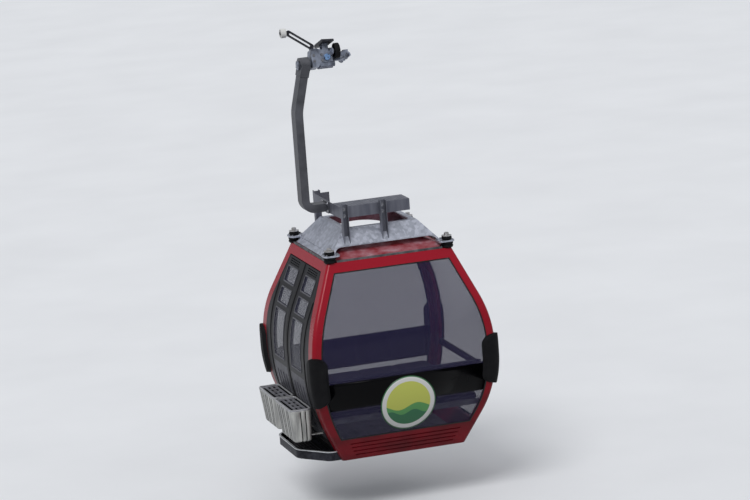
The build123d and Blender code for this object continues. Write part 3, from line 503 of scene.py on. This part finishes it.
# Door seals
# Hollow rubber lips down the meeting edges of the leaves, so that they close softly on each other, and
# down the middle of their outer edges, clear of the corner posts.
cabin_middle = 0.120
door_bulge = 0.296
meeting_lip = {"along": 0.0125, "width": 0.024, "top": 0.105, "bottom": 1.795}
outer_lip = {"along": 0.578, "width": 0.022, "top": 0.370, "bottom": 1.590}
lip_proud = 0.006
lip_rounding = 0.002


def upright_strip(form, along, width, top, bottom, steps=36):
    """Strip of faces that runs down the door side at a place along the cabin."""
    rows = []
    for step in range(steps + 1):
        drop = top + (bottom - top) * step / steps
        x = cabin_middle - half_width(drop, door_bulge)
        ends = (along - width / 2, along + width / 2)
        rows.append([form.verts.new((x, y, edge_z - drop)) for y in ends])
    for upper, lower in zip(rows, rows[1:]):
        form.faces.new((upper[0], lower[0], lower[1], upper[1]))


def turn_out(form, index, outward):
    """Normals made alike, so that the face of an index looks outward."""
    bmesh.ops.recalc_face_normals(form, faces=form.faces[:])
    if form.faces[:][index].normal.dot(Vector(outward)) < 0:
        bmesh.ops.reverse_faces(form, faces=form.faces[:])


for end, side in (("front", -1), ("rear", 1)):
    lips = bmesh.new()
    for lip in (meeting_lip, outer_lip):
        upright_strip(lips, side * lip["along"], lip["width"], lip["top"], lip["bottom"])
    turn_out(lips, 0, (-1, 0, 0))
    body = f"{end} door"
    piece(f"{end}_door_seal", lips, seal_rubber, body, lip_proud, lip_rounding)

# Sheet panels low in the doors
# Rolled aluminium sheet, dull grey, brushed upright and streaked by rain.
door_sheet, sheet_shader = new_material("door_sheet", (0.22, 0.22, 0.23), 0.5, 0.6)
brushing = pattern(door_sheet, "ShaderNodeTexNoise", 60.0, (1, 1, 0.03), {"Detail": 4.0}).outputs["Fac"]
sheet_tones = [(0.3, (0.060, 0.060, 0.072)), (0.75, (0.145, 0.145, 0.165))]
link(door_sheet, graded(door_sheet, brushing, sheet_tones), sheet_shader, "Base Color")
bump(door_sheet, sheet_shader, brushing, 0.0005)
dress(door_sheet, "sheet_panel", "front_door_panel", "rear_door_panel")

# Folds and rivets of the sheet panels
# Upright stiffening folds pressed into each panel, and a row of blind rivets down each of its edges.
fold_places = (0.15, 0.245, 0.34, 0.435)
fold_width = 0.012
fold_top = 1.21
fold_bottom = 1.69
fold_steps = 16
fold_proud = 0.005
fold_rounding = 0.002
rivet_top = 1.15
rivet_pitch = 0.06
rivet_count = 10
rivet_rows = (0.078, 0.508)
rivet_radius = 0.005
rivet_height = 0.003
for end, side in (("front", -1), ("rear", 1)):
    folds = bmesh.new()
    for place in fold_places:
        upright_strip(folds, side * place, fold_width, fold_top, fold_bottom, fold_steps)
    turn_out(folds, 0, (-1, 0, 0))
    body = f"{end} door"
    piece(f"{end}_panel_folds", folds, door_sheet, body, fold_proud, fold_rounding)


def studs(form, spots, outward, radius, height):
    """Domed rivet heads, one at each spot, whose layers have a foot, a depth and two radii, as shares."""
    turn = Vector((0, 0, 1)).rotation_difference(Vector(outward)).to_matrix().to_4x4()
    layers = ((0.0, 0.55, 1.0, 0.85), (0.55, 0.45, 0.85, 0.45))
    for spot in spots:
        for low, share, wide, narrow in layers:
            depth = height * share
            lift = Matrix.Translation((0, 0, height * low + depth / 2))
            bmesh.ops.create_cone(
                form,
                cap_ends=True,
                segments=12,
                radius1=radius * wide,
                radius2=radius * narrow,
                depth=depth,
                matrix=Matrix.Translation(spot) @ turn @ lift,
            )


for end, side in (("front", -1), ("rear", 1)):
    heads = bmesh.new()
    spots = []
    for index in range(rivet_count):
        drop = rivet_top + rivet_pitch * index
        x = cabin_middle - half_width(drop, door_bulge)
        spots += [(x, side * place, edge_z - drop) for place in rivet_rows]
    studs(heads, spots, (-1, 0, 0), rivet_radius, rivet_height)
    piece(f"{end}_panel_rivets", heads, door_sheet, f"{end} door")

# Ski racks
# Troughs of aluminium sheet with upright creases pressed into their walls and a rounded foot, hung on four
# brackets from each leaf under a punched top plate. Painted shade: near-black inside and in the crease
# floors.
rack_sheet, rack_shader = new_material("rack_sheet", (0.33, 0.33, 0.31), 0.42, 0.6)
rain = pattern(rack_sheet, "ShaderNodeTexNoise", 26.0, (1, 1, 0.06), {"Detail": 6.0}).outputs["Fac"]
rack_tones = [(0.32, (0.28, 0.28, 0.275)), (0.5, (0.44, 0.44, 0.42)), (0.70, (0.62, 0.62, 0.59))]
link(rack_sheet, graded(rack_sheet, rain, rack_tones), rack_shader, "Base Color")
link(rack_sheet, ranged(rack_sheet, rain, 0.34, 0.6), rack_shader, "Roughness")
plate_sheet, plate_shader = new_material("plate_sheet", (0.34, 0.34, 0.35), 0.4, 0.6)
plate_wear = pattern(plate_sheet, "ShaderNodeTexNoise", 18.0, inputs={"Detail": 6.0}).outputs["Fac"]
plate_tones = [(0.35, (0.22, 0.22, 0.245)), (0.7, (0.40, 0.40, 0.44))]
link(plate_sheet, graded(plate_sheet, plate_wear, plate_tones), plate_shader, "Base Color")
dress(plate_sheet, "rack_metal", "front_rack_top", "rear_rack_top")
# Near-black painted shade for the insides of the troughs and the floors of their creases.
rack_painted_shade, rack_shade_shader = new_material("rack_painted_shade", (0.010, 0.010, 0.010), 0.8, Specular_IOR_Level=0.1)
shade_roughness_noise = pattern(rack_painted_shade, "ShaderNodeTexNoise", 20.0, inputs={"Detail": 4.0}).outputs["Fac"]
link(rack_painted_shade, ranged(rack_painted_shade, shade_roughness_noise, 0.7, 0.95), rack_shade_shader, "Roughness")
rack_top = 1.420
rack_x = -0.7677
rack_z = edge_z - rack_top
rack_along = 0.2925
rack_half = 0.280
rack_deep = 0.215
rack_drop = 0.325
rack_taper = 0.052
rack_corner = 0.034
rack_round = 0.022
rack_wall = 0.003
crease_deep = 0.008
crease_edge = 0.009
crease_floor = 0.002
crease_shape = ((-crease_edge, 0), (-crease_floor, 1), (crease_floor, 1), (crease_edge, 0))
end_creases = (0.28, 0.52)
face_creases = (-0.32, -0.22, -0.05, 0.05, 0.22, 0.32)


def rounding(x, y, radius, first):
    """Four points of a rounded corner, clockwise from its first angle in degrees."""
    turns = [math.radians(first - 30 * step) for step in range(4)]
    return [(x + radius * math.cos(turn), y + radius * math.sin(turn)) for turn in turns]


def trough_row(centre, drop, inset, crease):
    """Points round a rack at a drop below its edge, drawn in by an inset, with creases sunk by a share."""
    taper = rack_taper * min(drop, rack_drop) / rack_drop
    deep = rack_deep - 2 * taper / 3 - 2 * inset
    half = rack_half - taper - inset
    corner = rack_corner - inset
    back, front = rack_x - inset, rack_x - inset - deep
    sunk = crease_deep * crease
    points = rounding(back - corner, -half + corner, corner, 0)
    for share in end_creases:
        middle = back - deep * share
        points += [(middle - step, -half + sunk * depth) for step, depth in crease_shape]
    points += rounding(front + corner, -half + corner, corner, -90)
    for share in face_creases:
        middle = 2 * half * share
        points += [(front + sunk * depth, middle + step) for step, depth in crease_shape]
    points += rounding(front + corner, half - corner, corner, 180)
    for share in end_creases[::-1]:
        middle = back - deep * share
        points += [(middle + step, half - sunk * depth) for step, depth in crease_shape]
    points += rounding(back - corner, half - corner, corner, 90)
    return [(x, centre + y, rack_z - drop) for x, y in points]


levels = [(0.0, 0.0, 0.0), (0.012, 0.0, 0.0), (0.030, 0.0, 1.0), (0.165, 0.0, 1.0), (0.300, 0.0, 1.0)]
crease_walls = ((4, 12), (16, 40), (44, 52))
bracket_drops = (0.024, 0.275)
bracket_along = 0.150
bracket_width = 0.036
bracket_thickness = 0.010
bracket_rounding = 0.001
for turn in (math.radians(angle) for angle in (25, 50, 75, 90)):
    drop = rack_drop - rack_round + rack_round * math.sin(turn)
    levels.append((drop, rack_round * (1 - math.cos(turn)), max(0.0, 1.0 - turn)))
for end, side in (("front", -1), ("rear", 1)):
    centre = side * rack_along
    trough = bmesh.new()
    rows = [[trough.verts.new(point) for point in trough_row(centre, *values)] for values in levels]
    for upper, lower in zip(rows, rows[1:]):
        for index in range(len(upper)):
            after = (index + 1) % len(upper)
            wall = trough.faces.new((upper[index], upper[after], lower[after], lower[index]))
            in_crease = any(low <= index < high for low, high in crease_walls)
            # Painted shade: the floor faces of each crease take the near-black material.
            if in_crease and index % 4 in (1, 2) and upper is not rows[0]:
                wall.material_index = 1
    trough.faces.new(rows[-1])
    turn_out(trough, -1, (0, 0, -1))
    rack = piece(f"{end}_rack_trough", trough, rack_sheet, f"{end} door")
    rack.data.materials.append(rack_painted_shade)
    # The inner wall takes the painted shade.
    shell = rack.modifiers.new("thickness", "SOLIDIFY")
    shell.thickness = rack_wall
    shell.offset = -1
    shell.material_offset = 1
    shell.material_offset_rim = 0
    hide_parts(f"{end}_ski_rack")
    brackets = bmesh.new()
    for drop in bracket_drops:
        middle_drop = drop + bracket_thickness / 2
        leaf_x = cabin_middle - half_width(rack_top + middle_drop, door_bulge)
        near = rack_x - rack_wall
        for place in (-bracket_along, bracket_along):
            arm = bmesh.ops.create_cube(brackets, size=1.0)["verts"]
            for vert in arm:
                vert.co = Vector(
                    (
                        (near + leaf_x) / 2 + vert.co.x * (leaf_x - near),
                        centre + place + vert.co.y * bracket_width,
                        rack_z - middle_drop + vert.co.z * bracket_thickness,
                    )
                )
    body = f"{end} door"
    piece(f"{end}_rack_brackets", brackets, rack_sheet, body, 0, bracket_rounding)

# Rims of the rack plates
# A folded rim round each top plate, lighter than the plate, beside the slots that the skis are set into.
# Its section is a row of steps, each with how far it is drawn in and how high it stands over the plate.
bright_lip, lip_shader = new_material("bright_lip", (0.55, 0.55, 0.56), 0.34, 0.7)
lip_noise = pattern(bright_lip, "ShaderNodeTexNoise", 35.0, inputs={"Detail": 5.0}).outputs["Fac"]
lip_tones = [(0.3, (0.42, 0.42, 0.43)), (0.7, (0.66, 0.66, 0.67))]
link(bright_lip, graded(bright_lip, lip_noise, lip_tones), lip_shader, "Base Color")
rim_steps = (
    (0.001, -0.004),
    (0.001, 0.006),
    (0.003, 0.008),
    (0.013, 0.008),
    (0.015, 0.006),
    (0.015, -0.001),
)
rim_corner = 0.036
plate_top = 0.0083
for end, side in (("front", -1), ("rear", 1)):
    rim = bmesh.new()
    rings = []
    for inset, rise in rim_steps:
        ring = []
        corner = rim_corner - inset
        for start, side_x, side_y in ((0, 1, 1), (90, -1, 1), (180, -1, -1), (270, 1, -1)):
            for step in range(7):
                turn = math.radians(start + 15 * step)
                x = rack_x - rack_deep / 2 + side_x * (rack_deep / 2 - inset - corner)
                y = side * rack_along + side_y * (rack_half - inset - corner)
                x += corner * math.cos(turn)
                y += corner * math.sin(turn)
                ring.append(rim.verts.new((x, y, rack_z + plate_top + rise)))
        rings.append(ring)
    for lower, upper in zip(rings, rings[1:]):
        for index in range(len(lower)):
            after = (index + 1) % len(lower)
            rim.faces.new((lower[index], lower[after], upper[after], upper[index]))
    piece(f"{end}_rack_rim", rim, bright_lip, f"{end} door")

# Roof frame and apron
# Folded and welded steel, hot-dip galvanised: matt grey crystals a few centimetres across.
galvanised, zinc_shader = new_material("galvanised", (0.28, 0.29, 0.32), 0.45, 0.75)
spangle = pattern(galvanised, "ShaderNodeTexVoronoi", 32.0).outputs["Color"]
spangle_value = wire(galvanised, "ShaderNodeSeparateColor", {"Color": spangle}).outputs["Red"]
zinc_tones = [(0.0, (0.35, 0.370, 0.43)), (0.5, (0.44, 0.460, 0.53)), (1.0, (0.54, 0.560, 0.64))]
link(galvanised, graded(galvanised, spangle_value, zinc_tones), zinc_shader, "Base Color")
link(galvanised, ranged(galvanised, spangle_value, 0.38, 0.6), zinc_shader, "Roughness")
dress(galvanised, "galvanised", "roof_frame", "roof_apron")

# Turned edges and bolts of the roof frame
# A strip is folded back along each edge of the sheet, and hex bolts hold its feet to the buffers.
turned_width = 0.012
turned_proud = 0.003
edging(
    "roof_frame_edges",
    "roof_frame",
    (0, 0, 1),
    turned_width,
    turned_proud,
    galvanised,
    "cabin",
)


def bolts(form, spots, outward, size):
    """Hex heads with washers and thread ends, one at each spot; size is the width of a head."""
    turn = Vector((0, 0, 1)).rotation_difference(Vector(outward)).to_matrix().to_4x4()
    washer, head, thread = (0.0, 0.16, 24, 1.0), (0.16, 0.62, 6, 0.577), (0.78, 0.14, 12, 0.30)
    draft = 0.94
    for spot in spots:
        for low, depth, segments, radius in (washer, head, thread):
            lift = Matrix.Translation((0, 0, size * (low + depth / 2)))
            bmesh.ops.create_cone(
                form,
                cap_ends=True,
                segments=segments,
                radius1=size * radius,
                radius2=size * radius * draft,
                depth=size * depth,
                matrix=Matrix.Translation(spot) @ turn @ lift,
            )


bolt_steel, bolt_shader = new_material("bolt_steel", (0.42, 0.42, 0.43), 0.35, 0.9)
bolt_rust = pattern(bolt_steel, "ShaderNodeTexNoise", 60.0, inputs={"Detail": 5.0}).outputs["Fac"]
bolt_tones = [(0.4, (0.30, 0.31, 0.34)), (0.75, (0.12, 0.11, 0.11))]
link(bolt_steel, graded(bolt_steel, bolt_rust, bolt_tones), bolt_shader, "Base Color")
foot_outer = 0.636
foot_inner = 0.528
foot_rise = 0.074
foot_bolt = 0.017
foot_bolts = bmesh.new()
foot_spots = []
for side_x in (-1, 1):
    for side_y in (-1, 1):
        for x, y in ((foot_outer, foot_outer), (foot_outer, foot_inner), (foot_inner, foot_outer)):
            foot_spots.append((cabin_middle + side_x * x, side_y * y, edge_z + foot_rise))
bolts(foot_bolts, foot_spots, (0, 0, 1), foot_bolt)
piece("roof_frame_bolts", foot_bolts, bolt_steel, "cabin")

# Upper frame and its posts
# The same galvanised steel, older and darker, with rain streaks that run down it.
aged_zinc, aged_shader = new_material("aged_zinc", (0.13, 0.135, 0.165), 0.5, 0.6)
streaks = pattern(aged_zinc, "ShaderNodeTexNoise", 16.0, (1, 1, 0.15), {"Detail": 6.0}).outputs["Fac"]
aged_tones = [(0.3, (0.11, 0.115, 0.145)), (0.6, (0.18, 0.185, 0.22)), (0.8, (0.27, 0.27, 0.29))]
link(aged_zinc, graded(aged_zinc, streaks, aged_tones), aged_shader, "Base Color")
link(aged_zinc, ranged(aged_zinc, streaks, 0.4, 0.65), aged_shader, "Roughness")
dress(aged_zinc, "galvanised", "upper_frame", "frame_posts")

# Bolts and treads of the upper frame
# Two hex bolts through each post into the beam, four in the hanger's flange, and pressed treads on the
# service step.
post_sides = ((-0.405, -1), (-0.015, -1), (-0.405, 1))
post_half = 0.031
post_face = 0.4363
post_bolts = (0.405, 0.471)
flange_x = -0.3096
flange_z = -1.441
flange_bolts = [(y, z) for y in (-0.086, 0.086) for z in (-0.038, 0.038)]
frame_bolt = 0.020
frame_bolts = bmesh.new()
for post_edge, side in post_sides:
    middle = cabin_middle + post_edge + post_half
    spots = [(middle, side * post_face, edge_z + rise) for rise in post_bolts]
    bolts(frame_bolts, spots, (0, side, 0), frame_bolt)
flange_spots = [(flange_x, y, flange_z + z) for y, z in flange_bolts]
bolts(frame_bolts, flange_spots, (-1, 0, 0), frame_bolt)
piece("upper_frame_bolts", frame_bolts, bolt_steel, "cabin")
tread_rows, tread_columns = 7, 21
tread_pitch = 0.0315
tread_x = cabin_middle - 0.375
tread_y = -0.405
tread_z = edge_z + 0.4955
treads = bmesh.new()
for row in range(tread_rows):
    for column in range(tread_columns):
        spot = (tread_x + tread_pitch * column, tread_y + tread_pitch * row, tread_z)
        tilt = Matrix.Rotation(math.radians(45 if (row + column) % 2 else -45), 4, "Z")
        bmesh.ops.create_cone(
            treads,
            cap_ends=True,
            segments=10,
            radius1=0.0075,
            radius2=0.0055,
            depth=0.003,
            matrix=Matrix.Translation(spot) @ tilt @ Matrix.Diagonal((1.5, 0.5, 1, 1)),
        )
piece("step_treads", treads, aged_zinc, "cabin")

# Hanger
# Box tube and bearing head in blue-grey two-pack paint, chalked by the weather.
hanger_paint, hanger_shader = new_material("hanger_paint", (0.070, 0.073, 0.085), 0.42)
chalk = pattern(hanger_paint, "ShaderNodeTexNoise", 6.0, inputs={"Detail": 5.0}).outputs["Fac"]
hanger_tones = [(0.35, (0.045, 0.047, 0.056)), (0.7, (0.105, 0.108, 0.124))]
link(hanger_paint, graded(hanger_paint, chalk, hanger_tones), hanger_shader, "Base Color")
link(hanger_paint, ranged(hanger_paint, chalk, 0.35, 0.6), hanger_shader, "Roughness")
dress(hanger_paint, "hanger_paint", "hanger_tube", "hanger_head")

# Rubber bumpers, buffers and wheels
# Moulded black rubber, matt, a little grey where it has weathered.
black_rubber, rubber_shader = new_material(
    "black_rubber", (0.004, 0.004, 0.005), 0.62, Specular_IOR_Level=0.14
)
bloom = pattern(black_rubber, "ShaderNodeTexNoise", 11.0, inputs={"Detail": 6.0}).outputs["Fac"]
rubber_tones = [(0.35, (0.003, 0.003, 0.004)), (0.75, (0.008, 0.008, 0.009))]
link(black_rubber, graded(black_rubber, bloom, rubber_tones), rubber_shader, "Base Color")
bump(black_rubber, rubber_shader, bloom, 0.0008)
dress(
    black_rubber,
    "black_rubber",
    "corner_bumpers",
    "buffer_feet",
    "buffer_rings",
    "uphill_wheel",
    "downhill_wheel",
)

# Seal strip round the roof
# Grey profile that closes the joint between the roof and the top ring, dusty on top.
grey_strip, strip_shader = new_material("grey_strip", (0.12, 0.12, 0.13), 0.6, Specular_IOR_Level=0.25)
strip_dust = pattern(grey_strip, "ShaderNodeTexNoise", 14.0, inputs={"Detail": 6.0}).outputs["Fac"]
strip_tones = [(0.35, (0.05, 0.05, 0.055)), (0.65, (0.17, 0.17, 0.18))]
link(grey_strip, graded(grey_strip, strip_dust, strip_tones), strip_shader, "Base Color")
dress(grey_strip, "black_rubber", "roof_gutter")

# Grip castings
# Aluminium and steel castings with a sandy skin, blotched dark by oil.
cast_metal, cast_shader = new_material("cast_metal", (0.16, 0.18, 0.23), 0.42, 0.6)
grain = pattern(cast_metal, "ShaderNodeTexNoise", 180.0, inputs={"Detail": 3.0}).outputs["Fac"]
stain = pattern(cast_metal, "ShaderNodeTexNoise", 12.0, inputs={"Detail": 5.0}).outputs["Fac"]
cast_tones = [(0.3, (0.07, 0.078, 0.10)), (0.5, (0.24, 0.265, 0.33)), (0.8, (0.46, 0.50, 0.60))]
link(cast_metal, graded(cast_metal, stain, cast_tones), cast_shader, "Base Color")
bump(cast_metal, cast_shader, grain, 0.0005)
dress(
    cast_metal,
    "cast_metal",
    "grip_body",
    "moving_jaw",
    "spring_housings",
    "hanger_shaft",
    "wheel_axles",
)

# Caps of the jaw pins
# Steel caps in light blue paint that has chipped down to dark metal in places.
cap_paint, cap_paint_shader = new_material("cap_paint", (0.16, 0.30, 0.56), 0.4)
chips = pattern(cap_paint, "ShaderNodeTexNoise", 30.0, inputs={"Detail": 6.0}).outputs["Fac"]
chip_tones = [(0.36, (0.05, 0.06, 0.08)), (0.44, (0.14, 0.27, 0.52)), (0.8, (0.24, 0.40, 0.66))]
link(cap_paint, graded(cap_paint, chips, chip_tones), cap_paint_shader, "Base Color")
dress(cap_paint, "cast_metal", "jaw_pins")

# Buffer caps
# Turned and zinc-plated steel, pale, with dull brownish stains.
plated_cap, cap_shader = new_material("plated_cap", (0.50, 0.50, 0.52), 0.36, 0.8)
cap_stain = pattern(plated_cap, "ShaderNodeTexNoise", 40.0, inputs={"Detail": 5.0}).outputs["Fac"]
cap_tones = [(0.35, (0.30, 0.29, 0.28)), (0.7, (0.58, 0.58, 0.60))]
link(plated_cap, graded(plated_cap, cap_stain, cap_tones), cap_shader, "Base Color")
dress(plated_cap, "cast_metal", "buffer_caps")

# Bolts of the grip and hubs of its wheels
# Hex bolts close the casting's side covers, and a steel disc with five bolts sits in each wheel's dish.
# The grip lies along the rope, which climbs by rope_slope.
rope_slope = math.radians(18.6)
slope_sin, slope_cos = math.sin(rope_slope), math.cos(rope_slope)
cover_along = 0.075
cover_bolt = 0.015
cover_places = [(x, up) for x in (-0.325, -0.245) for up in (-0.022, 0.036)]
ring_x = -0.4833
ring_z = -0.030
ring_r = 0.038
ring_bolt = 0.008
hub_up = 0.052
hub_x = -0.0886
hub_face_x = -0.0866
hub_depth = 0.004
hub_r, hub_face_r, hub_bore_r = 0.052, 0.050, 0.026
hub_bolt_r = 0.039
hub_bolt = 0.009
hub_bolt_count = 5


def on_grip(x, up, along):
    """Place on the grip: x across the rope, up off the rope, along uphill."""
    return Vector((x, up * slope_sin - along * slope_cos, up * slope_cos + along * slope_sin))


cover_bolts = bmesh.new()
for side in (-1, 1):
    spots = [on_grip(x, up, side * cover_along) for x, up in cover_places]
    bolts(cover_bolts, spots, on_grip(0, 0, side), cover_bolt)
ring_spots = [
    (ring_x, ring_r * math.cos(turn), ring_z + ring_r * math.sin(turn))
    for turn in (math.radians(90), math.radians(210), math.radians(330))
]
bolts(cover_bolts, ring_spots, (-1, 0, 0), ring_bolt)
piece("grip_bolts", cover_bolts, bolt_steel, "grip")
for name, body, along in (
    ("uphill_hub", "uphill running wheel", 0.115),
    ("downhill_hub", "downhill running wheel", -0.115),
):
    hub = bmesh.new()
    turn = Matrix.Rotation(math.radians(90), 4, "Y")
    centre = on_grip(hub_x, hub_up, along)
    bmesh.ops.create_cone(
        hub,
        cap_ends=False,
        segments=48,
        radius1=hub_r,
        radius2=hub_face_r,
        depth=hub_depth,
        matrix=Matrix.Translation(centre) @ turn,
    )
    face_rim = [edge for edge in hub.edges if edge.is_boundary and edge.verts[0].co.x > centre.x]
    inner = bmesh.ops.extrude_edge_only(hub, edges=face_rim)
    for vert in [item for item in inner["geom"] if isinstance(item, bmesh.types.BMVert)]:
        flat = vert.co - centre
        flat.x = 0
        vert.co -= flat * (1 - hub_bore_r / flat.length)
    spots = []
    for index in range(hub_bolt_count):
        bolt_turn = math.tau * index / hub_bolt_count
        up = hub_up + hub_bolt_r * math.cos(bolt_turn)
        spots.append(on_grip(hub_face_x, up, along + hub_bolt_r * math.sin(bolt_turn)))
    bolts(hub, spots, (1, 0, 0), hub_bolt)
    piece(name, hub, bolt_steel, body)

# Black steel: grip lever, friction plate, door arms and tray
# Forged or folded steel under worn black paint.
black_steel, steel_shader = new_material(
    "black_steel", (0.012, 0.012, 0.017), 0.5, 0.1, Specular_IOR_Level=0.2
)
scuff = pattern(black_steel, "ShaderNodeTexNoise", 20.0, inputs={"Detail": 6.0}).outputs["Fac"]
steel_tones = [(0.4, (0.011, 0.011, 0.016)), (0.72, (0.040, 0.041, 0.052))]
link(black_steel, graded(black_steel, scuff, steel_tones), steel_shader, "Base Color")
dress(
    black_steel,
    "black_steel",
    "grip_lever",
    "friction_plate",
    "front_door_arm",
    "rear_door_arm",
    "front_door_foot",
    "rear_door_foot",
    "step_tray",
    "door_shafts",
)

# Tray rim
# Bare aluminium edging round the tray, dulled in patches.
rim_metal, rim_shader = new_material("rim_metal", (0.62, 0.63, 0.65), 0.4, 0.6)
rim_noise = pattern(rim_metal, "ShaderNodeTexNoise", 30.0).outputs["Fac"]
link(rim_metal, ranged(rim_metal, rim_noise, 0.3, 0.55), rim_shader, "Roughness")
dress(rim_metal, "step_trim", "step_rim")

# Ribbed mat in the tray
# Black rubber ribs that give a boarding foot its hold.
rib_count = 9
rib_pitch = 0.031
rib_growth = 0.024
first_rib_x = cabin_middle - 0.960
first_rib_half = 0.300
rib_z = -3.8155
rib_width = 0.014
rib_height = 0.005
rib_rounding = 0.002
long_edge = 0.2
mat = bmesh.new()
for index in range(rib_count):
    x = first_rib_x + rib_pitch * index
    half = first_rib_half + rib_growth * index
    rib = bmesh.ops.create_cube(mat, size=1.0)["verts"]
    for vert in rib:
        along = vert.co.y * 2 * half
        vert.co = Vector((x + vert.co.x * rib_width, along, rib_z + vert.co.z * rib_height))
upper = [edge for edge in mat.edges if edge.calc_length() > long_edge and edge.verts[0].co.z > rib_z]
bmesh.ops.bevel(
    mat, geom=upper, offset=rib_rounding, segments=2, profile=0.5, affect="EDGES", material=-1
)
piece("tray_mat", mat, black_rubber, "cabin")

# Lever roller
# White cast nylon, greyed by grease.
white_nylon, nylon_shader = new_material("white_nylon", (0.72, 0.72, 0.70), 0.4)
grease = pattern(white_nylon, "ShaderNodeTexNoise", 25.0, inputs={"Detail": 4.0}).outputs["Fac"]
nylon_tones = [(0.35, (0.84, 0.84, 0.82)), (0.75, (0.60, 0.60, 0.58))]
link(white_nylon, graded(white_nylon, grease, nylon_tones), nylon_shader, "Base Color")
dress(white_nylon, "white_plastic", "lever_roller")

# Floor and bench frames
# Ribbed aluminium floor and folded bench brackets.
floor_metal, floor_metal_shader = new_material("floor_metal", (0.25, 0.26, 0.27), 0.5, 0.6)
tread = pattern(floor_metal, "ShaderNodeTexNoise", 9.0, inputs={"Detail": 6.0}).outputs["Fac"]
tread_tones = [(0.3, (0.16, 0.16, 0.17)), (0.75, (0.30, 0.31, 0.32))]
link(floor_metal, graded(floor_metal, tread, tread_tones), floor_metal_shader, "Base Color")
dress(floor_metal, "floor_metal", "floor_pan", "front_bench_frame", "back_bench_frame")

# Seat and back pads
# Foam cushions in dark navy ribbed cloth, four places to a bench, puffed a little and drawn in along the
# sewn seams between the places. Cloth simulation puffs a remeshed copy of each CAD pad.
navy_cloth, cloth_shader = new_material("navy_cloth", (0.016, 0.018, 0.036), 0.95, Sheen_Weight=0.25)
cord_line = pattern(navy_cloth, "ShaderNodeTexWave", 34.0, inputs={"Distortion": 0.6}).outputs["Fac"]
cord_tones = [(0.0, (0.009, 0.010, 0.022)), (1.0, (0.030, 0.033, 0.060))]
link(navy_cloth, graded(navy_cloth, cord_line, cord_tones), cloth_shader, "Base Color")
bump(navy_cloth, cloth_shader, cord_line, 0.002, 0.7)
seam_pitch = 0.375
seam_half = 0.020
seat_sink = 0.010
back_sink = 0.008
pad_inset = 0.004
pad_voxel = 0.012
puff_pressure = 4
puff_steps = 12
puff_limit = 0.006


def soft_pad(name, source, press):
    """Puffed cushion in the place of a CAD pad, with seams sunk along a direction by a depth."""
    pad = bpy.data.objects.new(name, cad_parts[source].data.copy())
    bpy.context.scene.collection.objects.link(pad)
    pad.data.materials.clear()
    form = bmesh.new()
    form.from_mesh(pad.data)
    bmesh.ops.remove_doubles(form, verts=form.verts, dist=merge_gap)
    form.normal_update()
    outward = [(vert, vert.normal.copy()) for vert in form.verts]
    for vert, normal in outward:
        vert.co -= normal * pad_inset
    form.to_mesh(pad.data)
    form.free()
    bpy.context.view_layer.objects.active = pad
    remesh = pad.modifiers.new("even", "REMESH")
    remesh.mode = "VOXEL"
    remesh.voxel_size = pad_voxel
    bpy.ops.object.modifier_apply(modifier="even")
    start = [vert.co.copy() for vert in pad.data.vertices]
    cloth = pad.modifiers.new("puff", "CLOTH")
    cloth.settings.use_pressure = True
    cloth.settings.uniform_pressure_force = puff_pressure
    cloth.settings.effector_weights.gravity = 0
    for step in range(1, puff_steps + 1):
        bpy.context.scene.frame_set(step)
    bpy.ops.object.modifier_apply(modifier="puff")
    bpy.context.scene.frame_set(1)
    for vert, origin in zip(pad.data.vertices, start):
        shift = vert.co - origin
        if shift.length > puff_limit:
            vert.co = origin + shift.normalized() * puff_limit
        off_seam = abs((vert.co.x - cabin_middle + seam_pitch / 2) % seam_pitch - seam_pitch / 2)
        sunk = math.exp(-((off_seam / seam_half) ** 2))
        vert.co -= Vector(press) * sunk
    softened = pad.modifiers.new("smooth", "SUBSURF")
    softened.levels = softened.render_levels = 1
    bpy.ops.object.modifier_apply(modifier="smooth")
    for polygon in pad.data.polygons:
        polygon.use_smooth = True
    pad.data.materials.append(navy_cloth)
    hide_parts(source)
    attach(pad, "cabin")


soft_pad("front_seat_cushion", "front_seat_pad", (0, 0, seat_sink))
soft_pad("back_seat_cushion", "back_seat_pad", (0, 0, seat_sink))
soft_pad("front_back_cushion", "front_back_pad", (0, back_sink, 0))
soft_pad("back_back_cushion", "back_back_pad", (0, -back_sink, 0))
